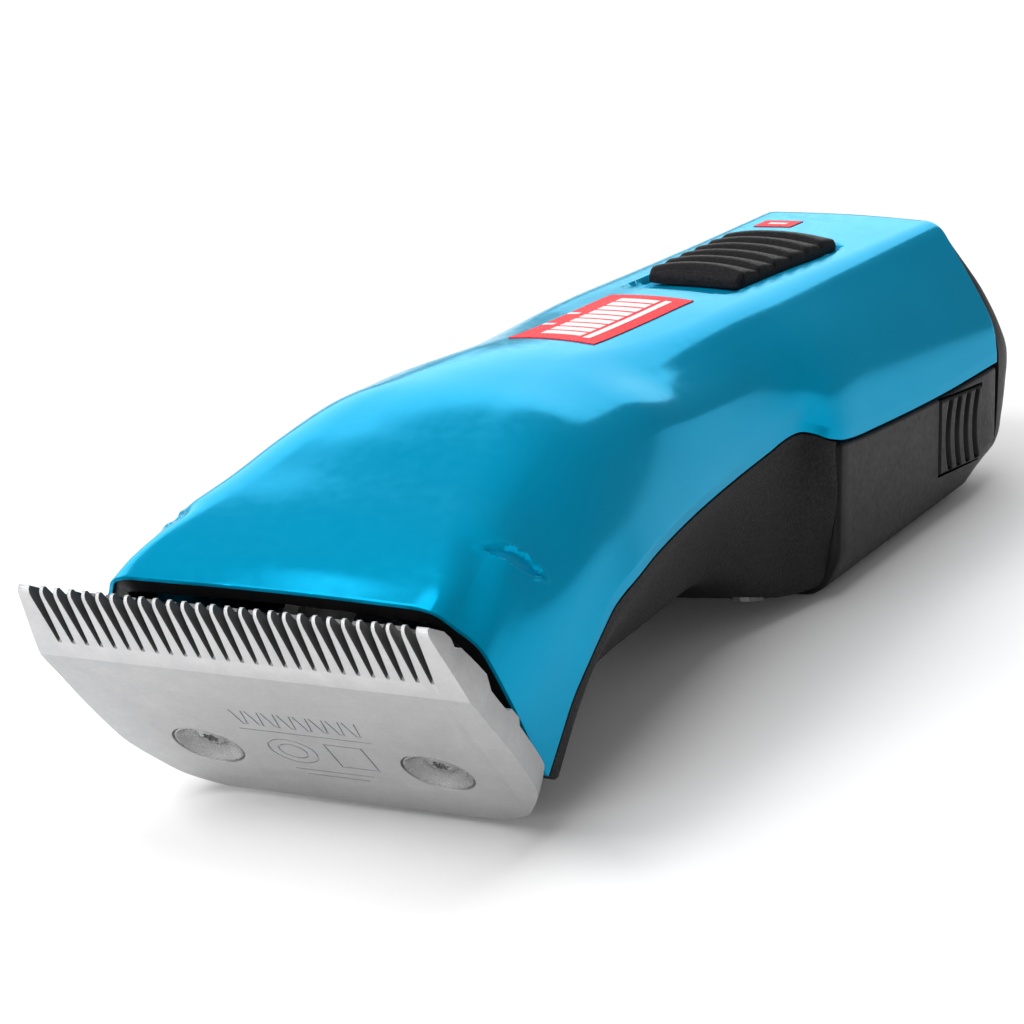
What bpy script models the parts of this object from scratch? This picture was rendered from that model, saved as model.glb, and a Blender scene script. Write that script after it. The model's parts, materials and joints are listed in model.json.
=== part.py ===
"""Cordless animal clipper: a housing in two shells, a detachable blade set, a motor drive and a battery pack.

All lengths are written in millimetres and multiplied by MM. Two frames are used, each an empty:
the handle frame (X across, Y towards the rear, Z up, zero at the middle of the comb's tooth tips), and
the blade frame (X across, Y along the comb's outer face towards its heel, Z into the head).
"""
import math

import bmesh
import bpy
from mathutils import Matrix, Vector

MM = 0.001
MODEL = "animal_clipper"

# Resting attitude: the clipper lies on the comb's heel and the battery's underside.
REST_PITCH = math.radians(6.1)
REST_LIFT = 31.73
REST_SHIFT = -89.247

# Housing
WALL = 2.0
SEAM = 0.3
LIP = 1.3
FRONT = 10.8
FRONT_LEAN = 17.3
LEAN_END = 60.0

# Black band in the head's opening: its depth in the wall, rear end, reach down the sides and own wall
BAND_INSET = 0.8
BAND_REAR = 18.8
BAND_REACH = 0.45
BAND_WALL = 1.5

# Label on the top facet
LABEL_FRONT = 80.0
LABEL_REAR = 109.0
LABEL_HALF = 5.7
LABEL_DEPTH = 0.3

# Blade
BLADE_ANGLE = math.radians(38.37)
BLADE_ORIGIN = (0.0, 6.70, -8.65)
TOOTH_PITCH = 1.75
GAP_COUNT = 27
CUTTER_PITCH = 2.5
CUTTER_GAPS = 16
TIP_S = -10.7
TIP_H = 2.6
CUT_PLANE = 3.4
COMB_HALF = 26.5
COMB_HEEL = 32.1
RAIL_HALF = 22.8
SCREW_X = 14.4
SCREW_S = 20.0
HINGE_S = 28.4
HINGE_H = 8.0
PIN_R = 1.4

# Right half of the comb's plan: (x, distance along its outer face from the tooth roots).
COMB_OUTLINE = [(24.75, TIP_S - 2), (24.8, TIP_S), (26.35, 0), (26.4, 5), (COMB_HALF, 10), (26.4, 15),
                (26.0, 20.8), (25.1, 23.5), (23.5, 26.5), (21.7, 29), (18.8, 30.6), (15.5, 31.5),
                (10.0, 32.0)]

# Screw posts: place (x, y), and the radii of the post, of the pilot in it and of the clearance below
FRONT_POST = (15.0, 54.0)
REAR_POST = (14.2, 107.0)
FRONT_POST_R = 2.8
REAR_POST_R = 2.5
PILOT_R = 1.3
CLEARANCE_R = 1.5
HEAD_POCKET_R = 2.5
POST_SIDES = 12

# Latch that frees the blade's hinge
LATCH_Y = 57.0
LATCH_WINDOW = (8.0, 5.0, 8.0)
LATCH_TRAVEL = 1.5

# Drive
PIVOT_Y = 40.0
TIP_ARM = 22.2
FORK_ARM = 13.0
STROKE = 1.6
CRANK = STROKE * FORK_ARM / TIP_ARM
SHAFT_Z = 1.2
BEARING_R = 3.5
MOTOR_FRONT = 62.0
MOTOR_REAR = 101.0
MOTOR_R = 11.5

# Switch
SLIDER_FRONT = 121.5
SLIDER_REAR = 152.0
SLIDER_HALF = 7.6
SLIDER_NOSE_HALF = 6.7
SLIDER_TRAVEL = 5.0
SLIDER_SLOPE = math.radians(2.9)
SLIDER_BASE = 20.7
SLIDER_RIBS = 5
RIB_PITCH = 4.9
STEM_Y = -13.0
STEM_LENGTH = 6.0
STEM_WIDTH = 4.0
STEM_GAP = 0.6

# Battery
BATTERY_FRONT = 118.0
BATTERY_HALF = 22.0
BATTERY_FLOOR_HALF = 18.0
FLOOR_END = 167.0
FLOOR_RISE = 0.3
CELL_R = 8.5
CELL_LENGTH = 50.0
CELL_X = 8.7
CELL_Z = -2.2
BUTTON_Y = 160.2
BUTTON_Z = -4.0
BUTTON_SIZE = (2.0, 15.4, 10.0)
BUTTON_GROOVES = 4

# Guide curves of the housing's right half: knots of (y, x, z), front to rear.
CENTRE = [(10.8, 0, 0.3), (14.5, 0, 2.4), (19, 0, 4.2), (25, 0, 6.6), (33, 0, 9.3), (42, 0, 12.4),
          (52, 0, 15.4), (60, 0, 16.9), (68, 0, 17.7), (74, 0, 17.9), (84, 0, 18.1), (96, 0, 18.7),
          (106, 0, 19.3), (118, 0, 19.7), (132, 0, 20.3), (150, 0, 21.15), (174, 0, 22.3)]
EDGE = [(10.8, 19.7, 0.0), (14.5, 19.9, 1.7), (19, 19.0, 3.8), (25, 17.6, 6.0), (33, 16.1, 8.6),
        (42, 14.7, 11.6), (52, 12.8, 14.4), (60, 10.8, 15.6), (68, 9.6, 16.5), (74, 9.4, 17.0),
        (84, 11.0, 17.1), (96, 12.1, 17.6), (106, 12.3, 18.2), (118, 12.1, 18.9), (132, 12.2, 19.6),
        (150, 12.6, 20.5), (174, 13.0, 21.9)]
FLANK = [(14.6, 23.2, -3.6), (18, 22.8, -0.8), (23, 22.2, 2.0), (28, 21.3, 3.6), (36, 20.0, 5.8),
         (45, 19.2, 8.6), (55, 18.5, 11.2), (64, 18.3, 12.4), (71, 18.5, 12.7), (80, 18.5, 12.3),
         (92, 18.0, 12.2), (104, 17.6, 12.8), (118, 18.2, 13.6), (132, 18.4, 13.8), (174, 18.4, 13.7)]
SIDE = [(19.0, 25.0, -11.1), (24, 25.0, -7.8), (30, 24.7, -4.0), (38, 23.8, 0.0), (47, 22.6, 3.0),
        (57, 21.4, 5.0), (70, 20.2, 6.2), (84, 19.4, 6.6), (96, 19.0, 7.0), (106, 19.2, 7.6),
        (118, 21.1, 8.0), (132, 21.3, 8.2), (174, 21.4, 8.4)]
RIM = [(28.1, 25.0, -21.5), (31, 25.0, -18.0), (34.2, 25.0, -14.2), (38.5, 25.0, -10.6),
       (42.4, 24.8, -8.0), (46.3, 24.5, -5.9), (53.8, 24.0, -3.9), (61.4, 23.0, -2.5), (77, 21.0, -0.7),
       (92.3, 19.5, 0.8), (102.5, 19.0, 2.0), (107.2, 19.0, 2.8), (111.3, 19.3, 3.1),
       (113.8, 20.3, 2.6), (116, 21.3, 1.7), (119.5, 22.0, 1.1), (127.9, 22.0, 1.0),
       (152.5, 22.0, 1.8), (174, 21.9, 3.2)]
SKIRT = [(31.2, 25.0, -22.0), (34.7, 24.9, -17.5), (40.6, 24.6, -11.8), (46.5, 24.1, -9.3),
         (54, 23.4, -7.2), (62, 22.3, -5.8), (77, 20.5, -4.0), (92, 19.2, -3.0), (102, 18.8, -2.5),
         (108, 19.2, -3.2), (113, 20.6, -4.4), (117.4, 22.0, -6.0)]
CHINE = [(33.3, 21.5, -22.4), (38, 19.5, -20.6), (45, 18.0, -18.4), (57, 17.0, -16.2),
         (72, 16.5, -14.5), (88, 16.0, -12.8), (95, 16.6, -13.8), (101, 17.5, -15.8),
         (107, 18.4, -17.3), (112, 19.2, -18.0), (117.4, 20.0, -18.2)]
KEEL = [(38.3, 0, -21.6), (45, 0, -19.6), (57, 0, -17.4), (72, 0, -15.8), (88, 0, -14.0),
        (95, 0, -15.2), (101, 0, -17.4), (107, 0, -19.0), (112, 0, -19.5), (117.4, 0, -18.9)]

TOP_STATIONS = (10.8, 14.5, 19, 25, 33, 42, 52, 60, 68, 74, 84, 96, 106, 111, 114, 119, 132, 152, 174)
LOWER_STATIONS = (28.3, 31, 34.5, 40, 46, 54, 62, 77, 88, 95, 101, 107, 112, 117.4)

# name: (base colour, roughness, metallic)
FINISHES = {
    "blue_plastic": ((0.0, 0.33, 0.58), 0.12, 0.0),
    "red_label": ((0.8, 0.01, 0.02), 0.3, 0.0),
    "black_plastic": ((0.03, 0.03, 0.032), 0.55, 0.0),
    "black_grip": ((0.02, 0.02, 0.022), 0.6, 0.0),
    "ground_steel": ((0.62, 0.62, 0.63), 0.3, 1.0),
    "dark_steel": ((0.2, 0.2, 0.21), 0.4, 1.0),
    "spring_steel": ((0.5, 0.5, 0.52), 0.25, 1.0),
    "zinc": ((0.55, 0.55, 0.57), 0.35, 1.0),
    "brass": ((0.78, 0.57, 0.2), 0.3, 1.0),
    "copper": ((0.8, 0.36, 0.2), 0.35, 1.0),
    "white_nylon": ((0.8, 0.8, 0.76), 0.45, 0.0),
    "green_board": ((0.02, 0.2, 0.08), 0.4, 0.0),
    "cell_wrap": ((0.1, 0.35, 0.2), 0.35, 0.0),
    "magnet": ((0.08, 0.08, 0.085), 0.5, 0.6),
}

for old in list(bpy.data.objects):
    bpy.data.objects.remove(old, do_unlink=True)

parts = bpy.data.collections.new(MODEL)
cutters = bpy.data.collections.new("cutters")
bpy.context.scene.collection.children.link(parts)
bpy.context.scene.collection.children.link(cutters)

materials = {}
for finish_name, (colour, roughness, metallic) in FINISHES.items():
    made = bpy.data.materials.new(finish_name)
    made.use_nodes = True
    shader = made.node_tree.nodes["Principled BSDF"]
    shader.inputs["Base Color"].default_value = (*colour, 1.0)
    shader.inputs["Roughness"].default_value = roughness
    shader.inputs["Metallic"].default_value = metallic
    materials[finish_name] = made


# ---------------------------------------------------------------- helpers

def new_empty(name, parent=None, place=(0, 0, 0), turn=(0, 0, 0)):
    """An empty at place (mm) in its parent's frame."""
    empty = bpy.data.objects.new(name, None)
    empty.empty_display_size = 10 * MM
    empty.parent = parent
    empty.location = Vector(place) * MM
    empty.rotation_euler = turn
    parts.objects.link(empty)
    return empty


def new_object(name, bm, finish, parent, place=(0, 0, 0), turn=(0, 0, 0), smooth=True):
    """An object in its parent's frame from a bmesh in mm."""
    bmesh.ops.scale(bm, vec=(MM, MM, MM), verts=bm.verts)
    mesh = bpy.data.meshes.new(name)
    bm.to_mesh(mesh)
    bm.free()
    mesh.materials.append(materials[finish])
    if smooth:
        mesh.shade_smooth()
        mesh.set_sharp_from_angle(angle=math.radians(30))
    thing = bpy.data.objects.new(name, mesh)
    thing.parent = parent
    thing.location = Vector(place) * MM
    thing.rotation_euler = turn
    parts.objects.link(thing)
    return thing


def block(size, centre=(0, 0, 0)):
    """A bmesh box of the given size in mm."""
    bm = bmesh.new()
    bmesh.ops.create_cube(bm, size=1.0)
    bmesh.ops.scale(bm, vec=size, verts=bm.verts)
    bmesh.ops.translate(bm, vec=centre, verts=bm.verts)
    return bm


def rod(radius, length, centre=(0, 0, 0), axis="Z", sides=16, top_radius=None):
    """A bmesh cylinder or cone; its +Z end turns to the named axis."""
    bm = bmesh.new()
    top = radius if top_radius is None else top_radius
    bmesh.ops.create_cone(bm, cap_ends=True, segments=sides, radius1=radius, radius2=top, depth=length)
    turns = {"X": Matrix.Rotation(math.radians(90), 3, "Y"), "Y": Matrix.Rotation(math.radians(-90), 3, "X")}
    if axis in turns:
        bmesh.ops.rotate(bm, matrix=turns[axis], verts=bm.verts)
    bmesh.ops.translate(bm, vec=centre, verts=bm.verts)
    return bm


def prism(outline, low, high, plane="XY"):
    """A bmesh prism: a closed outline in one plane, drawn out along that plane's normal."""
    spots = {"XY": lambda a, b, c: (a, b, c),
             "YZ": lambda a, b, c: (c, a, b),
             "XZ": lambda a, b, c: (a, c, b)}
    place = spots[plane]
    bm = bmesh.new()
    ends = []
    for level in (low, high):
        ends.append([bm.verts.new(place(a, b, level)) for a, b in outline])
    count = len(outline)
    bm.faces.new(ends[0])
    bm.faces.new(ends[1])
    for i in range(count):
        j = (i + 1) % count
        bm.faces.new((ends[0][i], ends[0][j], ends[1][j], ends[1][i]))
    bmesh.ops.recalc_face_normals(bm, faces=bm.faces)
    return bm


def turned(name, profile, finish, parent, place=(0, 0, 0), turn=(0, 0, 0), sides=20):
    """A closed profile of (radius, height) in mm, outer side listed from top to bottom, spun about Z."""
    bm = bmesh.new()
    ring = [bm.verts.new((radius, 0, height)) for radius, height in profile]
    for i, vert in enumerate(ring):
        bm.edges.new((vert, ring[(i + 1) % len(ring)]))
    thing = new_object(name, bm, finish, parent, place, turn, smooth=False)
    spin = thing.modifiers.new("spin", "SCREW")
    spin.axis = "Z"
    spin.angle = math.radians(360)
    spin.steps = sides
    spin.render_steps = sides
    spin.use_merge_vertices = True
    spin.merge_threshold = 0.00001
    return thing


def ring_profile(outer, inner, low, high):
    """The profile of a plain ring."""
    return [(outer, high), (outer, low), (inner, low), (inner, high)]


def combine(thing, bm, operation):
    """Cut from or join to thing a bmesh given in thing's own frame, in mm."""
    tool = new_object(f"{thing.name}_{operation.lower()}_{len(thing.modifiers)}", bm, "zinc", thing.parent,
                      smooth=False)
    tool.location = thing.location
    tool.rotation_euler = thing.rotation_euler
    apply_tool(thing, tool, operation)


def apply_tool(thing, tool, operation):
    """Make tool a cutter and add the Boolean that uses it."""
    tool.hide_render = True
    tool.display_type = "WIRE"
    parts.objects.unlink(tool)
    cutters.objects.link(tool)
    change = thing.modifiers.new(operation.lower(), "BOOLEAN")
    change.operation = operation
    change.solver = "EXACT"
    change.object = tool


def cut(thing, bm):
    combine(thing, bm, "DIFFERENCE")


def join(thing, bm):
    combine(thing, bm, "UNION")


def merged(*meshes):
    """Several separate bmeshes as one."""
    whole = bmesh.new()
    for bm in meshes:
        mesh = bpy.data.meshes.new("piece")
        bm.to_mesh(mesh)
        bm.free()
        whole.from_mesh(mesh)
        bpy.data.meshes.remove(mesh)
    return whole


def wire(name, points, radius, finish, parent, place=(0, 0, 0), turn=(0, 0, 0)):
    """A wire along points in mm."""
    curve = bpy.data.curves.new(name, "CURVE")
    curve.dimensions = "3D"
    curve.bevel_depth = radius * MM
    curve.bevel_resolution = 1
    curve.use_fill_caps = True
    spline = curve.splines.new("POLY")
    spline.points.add(len(points) - 1)
    for point, spot in zip(spline.points, points):
        point.co = (*(Vector(spot) * MM), 1.0)
    curve.materials.append(materials[finish])
    thing = bpy.data.objects.new(name, curve)
    thing.parent = parent
    thing.location = Vector(place) * MM
    thing.rotation_euler = turn
    parts.objects.link(thing)
    return thing


def coil(radius, length, turns, steps=8):
    """Points of a helix about Z, from zero up."""
    count = int(turns * steps)
    points = []
    for i in range(count + 1):
        angle = 2 * math.pi * i / steps
        points.append((radius * math.cos(angle), radius * math.sin(angle), length * i / count))
    return points


def on_curve(knots, y):
    """The point of a guide curve at y, on a smooth curve through its knots."""
    y = min(max(y, knots[0][0]), knots[-1][0])
    last = len(knots) - 2
    i = 0
    while i < last and y > knots[i + 1][0]:
        i += 1

    def slope(k, axis):
        a, b = max(k - 1, 0), min(k + 1, len(knots) - 1)
        return (knots[b][axis] - knots[a][axis]) / (knots[b][0] - knots[a][0])

    span = knots[i + 1][0] - knots[i][0]
    t = (y - knots[i][0]) / span
    spot = []
    for axis in (1, 2):
        start, end = knots[i][axis], knots[i + 1][axis]
        spot.append((2 * t**3 - 3 * t**2 + 1) * start + (t**3 - 2 * t**2 + t) * span * slope(i, axis)
                    + (3 * t**2 - 2 * t**3) * end + (t**3 - t**2) * span * slope(i + 1, axis))
    return Vector((spot[0], y, spot[1]))


def lean(y, start, amount, end=LEAN_END):
    """How far a rib's far end stands behind its near end, fading out towards end."""
    left = min(max((end - y) / (end - start), 0.0), 1.0)
    return amount * left**1.5


def beside_rim(y, up):
    """A point at a distance above (or below) the seam's edge, square to the seam in the side view."""
    spot = on_curve(RIM, y)
    run = on_curve(RIM, y + 0.5) - on_curve(RIM, y - 0.5)
    square = Vector((0, -run.z, run.y)).normalized()
    return spot + square * up


def top_rib(y):
    """One rib of the top shell's right half, with an upright lip at the seam."""
    tilt = lean(y, FRONT, FRONT_LEAN)
    return [on_curve(CENTRE, y), on_curve(EDGE, y), on_curve(FLANK, y + 0.22 * tilt),
            on_curve(SIDE, y + 0.474 * tilt), beside_rim(y + tilt, LIP), on_curve(RIM, y + tilt)]


def lower_rib(y):
    """One rib of the lower housing's right half, from the seam to the keel."""
    tilt = lean(y, LOWER_STATIONS[0], 1.0)
    return [beside_rim(y, -SEAM), beside_rim(y, -SEAM - LIP), on_curve(SKIRT, y + 2.9 * tilt),
            on_curve(CHINE, y + 5.0 * tilt), on_curve(KEEL, y + 10.0 * tilt)]


def skin(ribs):
    """An open bmesh surface through ribs of the right half, mirrored to the left."""
    bm = bmesh.new()
    rows = []
    for rib in ribs:
        row = [bm.verts.new((-spot.x, spot.y, spot.z)) for spot in rib if abs(spot.x) > 0.01]
        if abs(rib[0].x) < 0.01:
            row.reverse()
        row_right = [bm.verts.new(spot) for spot in rib]
        rows.append(row + row_right if abs(rib[0].x) < 0.01 else row_right + row[::-1])
    for near, far in zip(rows, rows[1:]):
        for i in range(len(near) - 1):
            bm.faces.new((near[i], near[i + 1], far[i + 1], far[i]))
    return bm


def inner_wall(thing, thickness):
    """Gives an open surface a thickness on its inner side."""
    wall = thing.modifiers.new("wall", "SOLIDIFY")
    wall.thickness = thickness * MM
    wall.offset = -1.0
    wall.use_even_offset = True


def shell(name, ribs, finish, parent, thickness, outward):
    """An open surface given a thickness on its inner side."""
    bm = skin(ribs)
    bmesh.ops.recalc_face_normals(bm, faces=bm.faces)
    middle = bm.faces[len(bm.faces) // 2]
    if middle.normal.dot(Vector(outward)) < 0:
        bmesh.ops.reverse_faces(bm, faces=bm.faces)
    bmesh.ops.triangulate(bm, faces=bm.faces)
    thing = new_object(name, bm, finish, parent)
    inner_wall(thing, thickness)
    return thing


def band_skin(stations, inset, short=0.0):
    """The top shell's front, moved inwards by inset; short leaves off some of its reach down the sides."""
    ribs = []
    for y in stations:
        rib = top_rib(y)[:4]
        low = on_curve(RIM, y + lean(y, FRONT, FRONT_LEAN))
        ribs.append(rib + [rib[-1].lerp(low, BAND_REACH - short)])
    bm = skin(ribs)
    bmesh.ops.recalc_face_normals(bm, faces=bm.faces)
    if bm.faces[len(bm.faces) // 2].normal.z < 0:
        bmesh.ops.reverse_faces(bm, faces=bm.faces)
    bm.normal_update()
    moves = [(vert, vert.normal * inset * vert.calc_shell_factor()) for vert in bm.verts]
    for vert, move in moves:
        vert.co -= move
    bmesh.ops.triangulate(bm, faces=bm.faces)
    return bm


# ---------------------------------------------------------------- frames

root = new_empty("clipper_frame", place=(0, REST_SHIFT, REST_LIFT), turn=(-REST_PITCH, 0, 0))
head_frame = new_empty("blade_seat", root, BLADE_ORIGIN, (-BLADE_ANGLE, 0, 0))
hinge_axis = new_empty("blade_hinge_axis", head_frame, (0, HINGE_S, HINGE_H))
blade = new_empty("blade_frame", hinge_axis, (0, -HINGE_S, -HINGE_H))
lever_axis = new_empty("lever_axis", root, (0, PIVOT_Y, 0))
motor_axis = new_empty("motor_axis", root, (0, MOTOR_FRONT, SHAFT_Z), (math.radians(90), 0, 0))
slider_frame = new_empty("slider_frame", root, (0, SLIDER_REAR, SLIDER_BASE), (SLIDER_SLOPE, 0, 0))
battery_frame = new_empty("battery_frame", root)


# ---------------------------------------------------------------- housing

def build_top_shell():
    thing = shell("top_shell", [top_rib(y) for y in TOP_STATIONS], "blue_plastic", root, WALL, (0, 0, 1))
    rebate = new_object("front_rebate", band_skin((9.8, 12.2, 15.0, BAND_REAR + SEAM), BAND_INSET),
                        "zinc", root, smooth=False)
    inner_wall(rebate, WALL)
    apply_tool(thing, rebate, "DIFFERENCE")
    for side in (-1, 1):
        join(thing, rod(REAR_POST_R, 19.9, (side * REAR_POST[0], REAR_POST[1], 3.45), sides=POST_SIDES))
        join(thing, rod(FRONT_POST_R, 13.0, (side * FRONT_POST[0], FRONT_POST[1], 4.2), sides=POST_SIDES))
    for side in (-1, 1):
        cut(thing, rod(PILOT_R, 11.0, (side * REAR_POST[0], REAR_POST[1], -4.0), sides=POST_SIDES))
        cut(thing, rod(PILOT_R, 8.0, (side * FRONT_POST[0], FRONT_POST[1], -1.8), sides=POST_SIDES))
    slot_front = SLIDER_REAR + STEM_Y - STEM_LENGTH / 2 - SLIDER_TRAVEL - STEM_GAP
    slot_rear = SLIDER_REAR + STEM_Y + STEM_LENGTH / 2 + STEM_GAP
    slot_size = (STEM_WIDTH + 2 * STEM_GAP, slot_rear - slot_front, 12.0)
    cut(thing, block(slot_size, (0, (slot_front + slot_rear) / 2, 20.0)))


def build_label():
    """The thin label that follows the top facet."""
    sections = []
    for y in (LABEL_FRONT, 85.0, 90.0, 96.0, 102.0, LABEL_REAR):
        centre, edge = on_curve(CENTRE, y), on_curve(EDGE, y)
        drop = (centre.z - edge.z) * LABEL_HALF / edge.x
        low = centre.z + SEAM
        sections.append([(-LABEL_HALF, y, low - drop), (0, y, low), (LABEL_HALF, y, low - drop),
                         (LABEL_HALF, y, low - drop + LABEL_DEPTH), (0, y, low + LABEL_DEPTH),
                         (-LABEL_HALF, y, low - drop + LABEL_DEPTH)])
    bm = loft(sections)
    bmesh.ops.triangulate(bm, faces=bm.faces)
    new_object("label_plate", bm, "red_label", root)


def build_lower_housing():
    ribs = [lower_rib(y)[::-1] for y in LOWER_STATIONS]
    thing = shell("lower_housing", ribs, "black_plastic", root, WALL, (0, 0, -1))
    for side in (-1, 1):
        join(thing, rod(REAR_POST_R, 10.0, (side * REAR_POST[0], REAR_POST[1], -11.8), sides=POST_SIDES))
        join(thing, rod(FRONT_POST_R, 12.0, (side * FRONT_POST[0], FRONT_POST[1], -8.7), sides=POST_SIDES))
    join(thing, block((6.0, 0.8, 4.4), (0, LATCH_Y + 5.3, -13.4)))
    for side in (-1, 1):
        for (x, y), pocket_z in ((REAR_POST, -19.9), (FRONT_POST, -17.0)):
            cut(thing, rod(CLEARANCE_R, 30.0, (side * x, y, -10.0), sides=POST_SIDES))
            cut(thing, rod(HEAD_POCKET_R, 8.0, (side * x, y, pocket_z), sides=POST_SIDES))
    cut(thing, block((23.0, 16.0, 12.0), (0, 36.0, -22.0)))
    cut(thing, block(LATCH_WINDOW, (0, LATCH_Y, -17.0)))


def build_head_frame():
    """The black band inside the head opening."""
    thing = new_object("head_frame", band_skin((11.2, 12.2, 15.0, BAND_REAR), BAND_INSET + SEAM, 0.1),
                       "black_plastic", root)
    inner_wall(thing, BAND_WALL)


def build_chassis():
    """The plate that carries the lever's pivot and the motor's front."""
    thing = new_object("chassis", block((24.0, 29.0, 2.0), (0, 47.0, -8.6)), "zinc", root)
    join(thing, block((24.0, 1.7, 22.0), (0, 60.65, 1.2)))
    for side in (-1, 1):
        join(thing, block((5.0, 6.0, 4.0), (side * 9.5, 47.0, -10.5)))
        cut(thing, rod(1.4, 8.0, (side * 9.5, 47.0, -12.0), sides=12))
    cut(thing, rod(4.4, 6.0, (0, 60.6, SHAFT_Z), "Y"))
    cut(thing, rod(1.65, 8.0, (0, PIVOT_Y, -8.6), sides=12))


def build_housing_screws():
    """Screws from the underside into the top shell's posts."""
    rows = (("front", FRONT_POST, -13.3, 15.0), ("rear", REAR_POST, -16.2, 16.5))
    for label, (x, y), seat, length in rows:
        profile = [(0.0, length), (1.1, length - 0.8), (1.1, 0.2), (2.2, 0.0), (2.2, -1.5), (1.1, -1.5),
                   (1.1, -0.7), (0.0, -0.7)]
        for side_name, side in (("left", -1), ("right", 1)):
            turned(f"housing_screw_{label}_{side_name}", profile, "dark_steel", root, (side * x, y, seat),
                   sides=POST_SIDES)


# ---------------------------------------------------------------- blade

def build_comb():
    side_view = [(32.0, 0.0), (32.0, 1.2), (31.4, 1.8), (17.5, 1.8), (17.0, CUT_PLANE), (12.5, CUT_PLANE),
                 (12.0, 1.8), (4.5, 1.8), (4.0, CUT_PLANE), (TIP_S + 0.1, CUT_PLANE),
                 (TIP_S - 0.4, CUT_PLANE - 0.35), (TIP_S, TIP_H), (0.0, 0.0)]
    wall_view = [(23.4, 0.0), (23.4, 1.6), (21.3, 3.0), (11.9, 3.2), (11.2, 3.85), (9.0, 3.8), (8.2, 3.15),
                 (3.5, 3.2), (1.4, 4.1), (-4.4, 4.15), (-5.4, 3.6), (-6.6, 4.15), (-8.0, 4.15), (-10.9, 2.9),
                 (TIP_S, TIP_H), (0.0, 0.0)]
    thing = new_object("comb_blade", prism(side_view, -RAIL_HALF - 0.4, RAIL_HALF + 0.4, "YZ"),
                       "ground_steel", blade)
    for side in (-1, 1):
        low, high = sorted((side * RAIL_HALF, side * (COMB_HALF + 1.0)))
        join(thing, prism(wall_view, low, high, "YZ"))
        tail = [(22.5, 0.0), (22.5, 1.3), (31.4, 1.3), (32.0, 0.8), (32.0, 0.0)]
        join(thing, prism(tail, low, high, "YZ"))
    outline = COMB_OUTLINE + [(0.0, COMB_HEEL)] + [(-x, s) for x, s in reversed(COMB_OUTLINE)]
    combine(thing, prism(outline, -3.0, 9.0), "INTERSECT")
    gaps = []
    for i in range(GAP_COUNT):
        x = (i - (GAP_COUNT - 1) / 2) * TOOTH_PITCH
        wedge = [(x - 0.66, TIP_S - 2.5), (x + 0.66, TIP_S - 2.5), (x + 0.24, -3.2), (x, -2.3),
                 (x - 0.24, -3.2)]
        gaps.append(prism(wedge, -3.0, 9.0))
    cut(thing, merged(*gaps))
    for side in (-1, 1):
        cut(thing, rod(4.6, 2.0, (side * SCREW_X, SCREW_S, 0.45), sides=20, top_radius=3.1))
        cut(thing, rod(1.8, 8.0, (side * SCREW_X, SCREW_S, 1.0), sides=12))


def build_comb_screws():
    profile = [(0.0, 6.2), (1.2, 6.0), (1.5, 5.5), (1.5, 1.15), (2.6, 1.05), (3.7, 0.25), (1.2, 0.15),
               (1.2, 0.8), (0.0, 0.8)]
    for name, side in (("left", -1), ("right", 1)):
        turned(f"comb_screw_{name}", profile, "ground_steel", blade, (side * SCREW_X, SCREW_S, 0))


def build_cutter():
    bottom = CUT_PLANE + 0.3
    side_view = [(15.6, bottom), (15.6, 5.4), (14.6, 6.0), (-3.0, 6.0), (-7.9, 4.3), (-8.0, bottom)]
    thing = new_object("cutter_blade", prism(side_view, -20.4, 20.4, "YZ"), "ground_steel", blade)
    join(thing, block((12.0, 9.0, 2.8), (0, 8.5, 7.1)))
    cut(thing, block((4.4, 5.2, 5.6), (0, 8.6, 7.4)))
    gaps = []
    for i in range(CUTTER_GAPS):
        x = (i - (CUTTER_GAPS - 1) / 2) * CUTTER_PITCH
        wedge = [(x - 0.75, -10.0), (x + 0.75, -10.0), (x + 0.4, -2.6), (x - 0.4, -2.6)]
        gaps.append(prism(wedge, 2.0, 8.0))
    cut(thing, merged(*gaps))


def build_socket():
    """The folded channel on the comb's inner side that slides on the hinge arm."""
    thing = new_object("blade_socket", block((37.0, 7.4, 1.2), (0, 21.7, 2.75)), "zinc", blade)
    for side in (-1, 1):
        join(thing, block((1.2, 7.4, 4.6), (side * 8.6, 21.7, 4.6)))
        join(thing, block((2.4, 7.4, 1.0), (side * 8.0, 21.7, 6.5)))
        cut(thing, rod(1.8, 6.0, (side * SCREW_X, SCREW_S, 3.0), sides=12))


def build_tension_spring():
    """The leaf that presses the cutter on the comb through the guide."""
    side_view = [(24.0, 3.7), (24.0, 4.3), (17.6, 4.3), (15.8, 7.6), (10.4, 8.7), (10.2, 8.1), (15.4, 7.0),
                 (17.2, 3.7)]
    for name, side in (("left", -1), ("right", 1)):
        low, high = sorted((side * 10.2, side * 17.6))
        thing = new_object(f"tension_spring_{name}", prism(side_view, low, high, "YZ"), "spring_steel", blade)
        cut(thing, rod(1.8, 6.0, (side * SCREW_X, SCREW_S, 4.0), sides=12))
        low, high = sorted((side * 10.4, side * 17.4))
        guide = [(9.6, 6.3), (13.6, 6.3), (13.6, 7.0), (10.0, 7.8), (9.6, 7.8)]
        new_object(f"cutter_guide_{name}", prism(guide, low, high, "YZ"), "white_nylon", blade)


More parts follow.
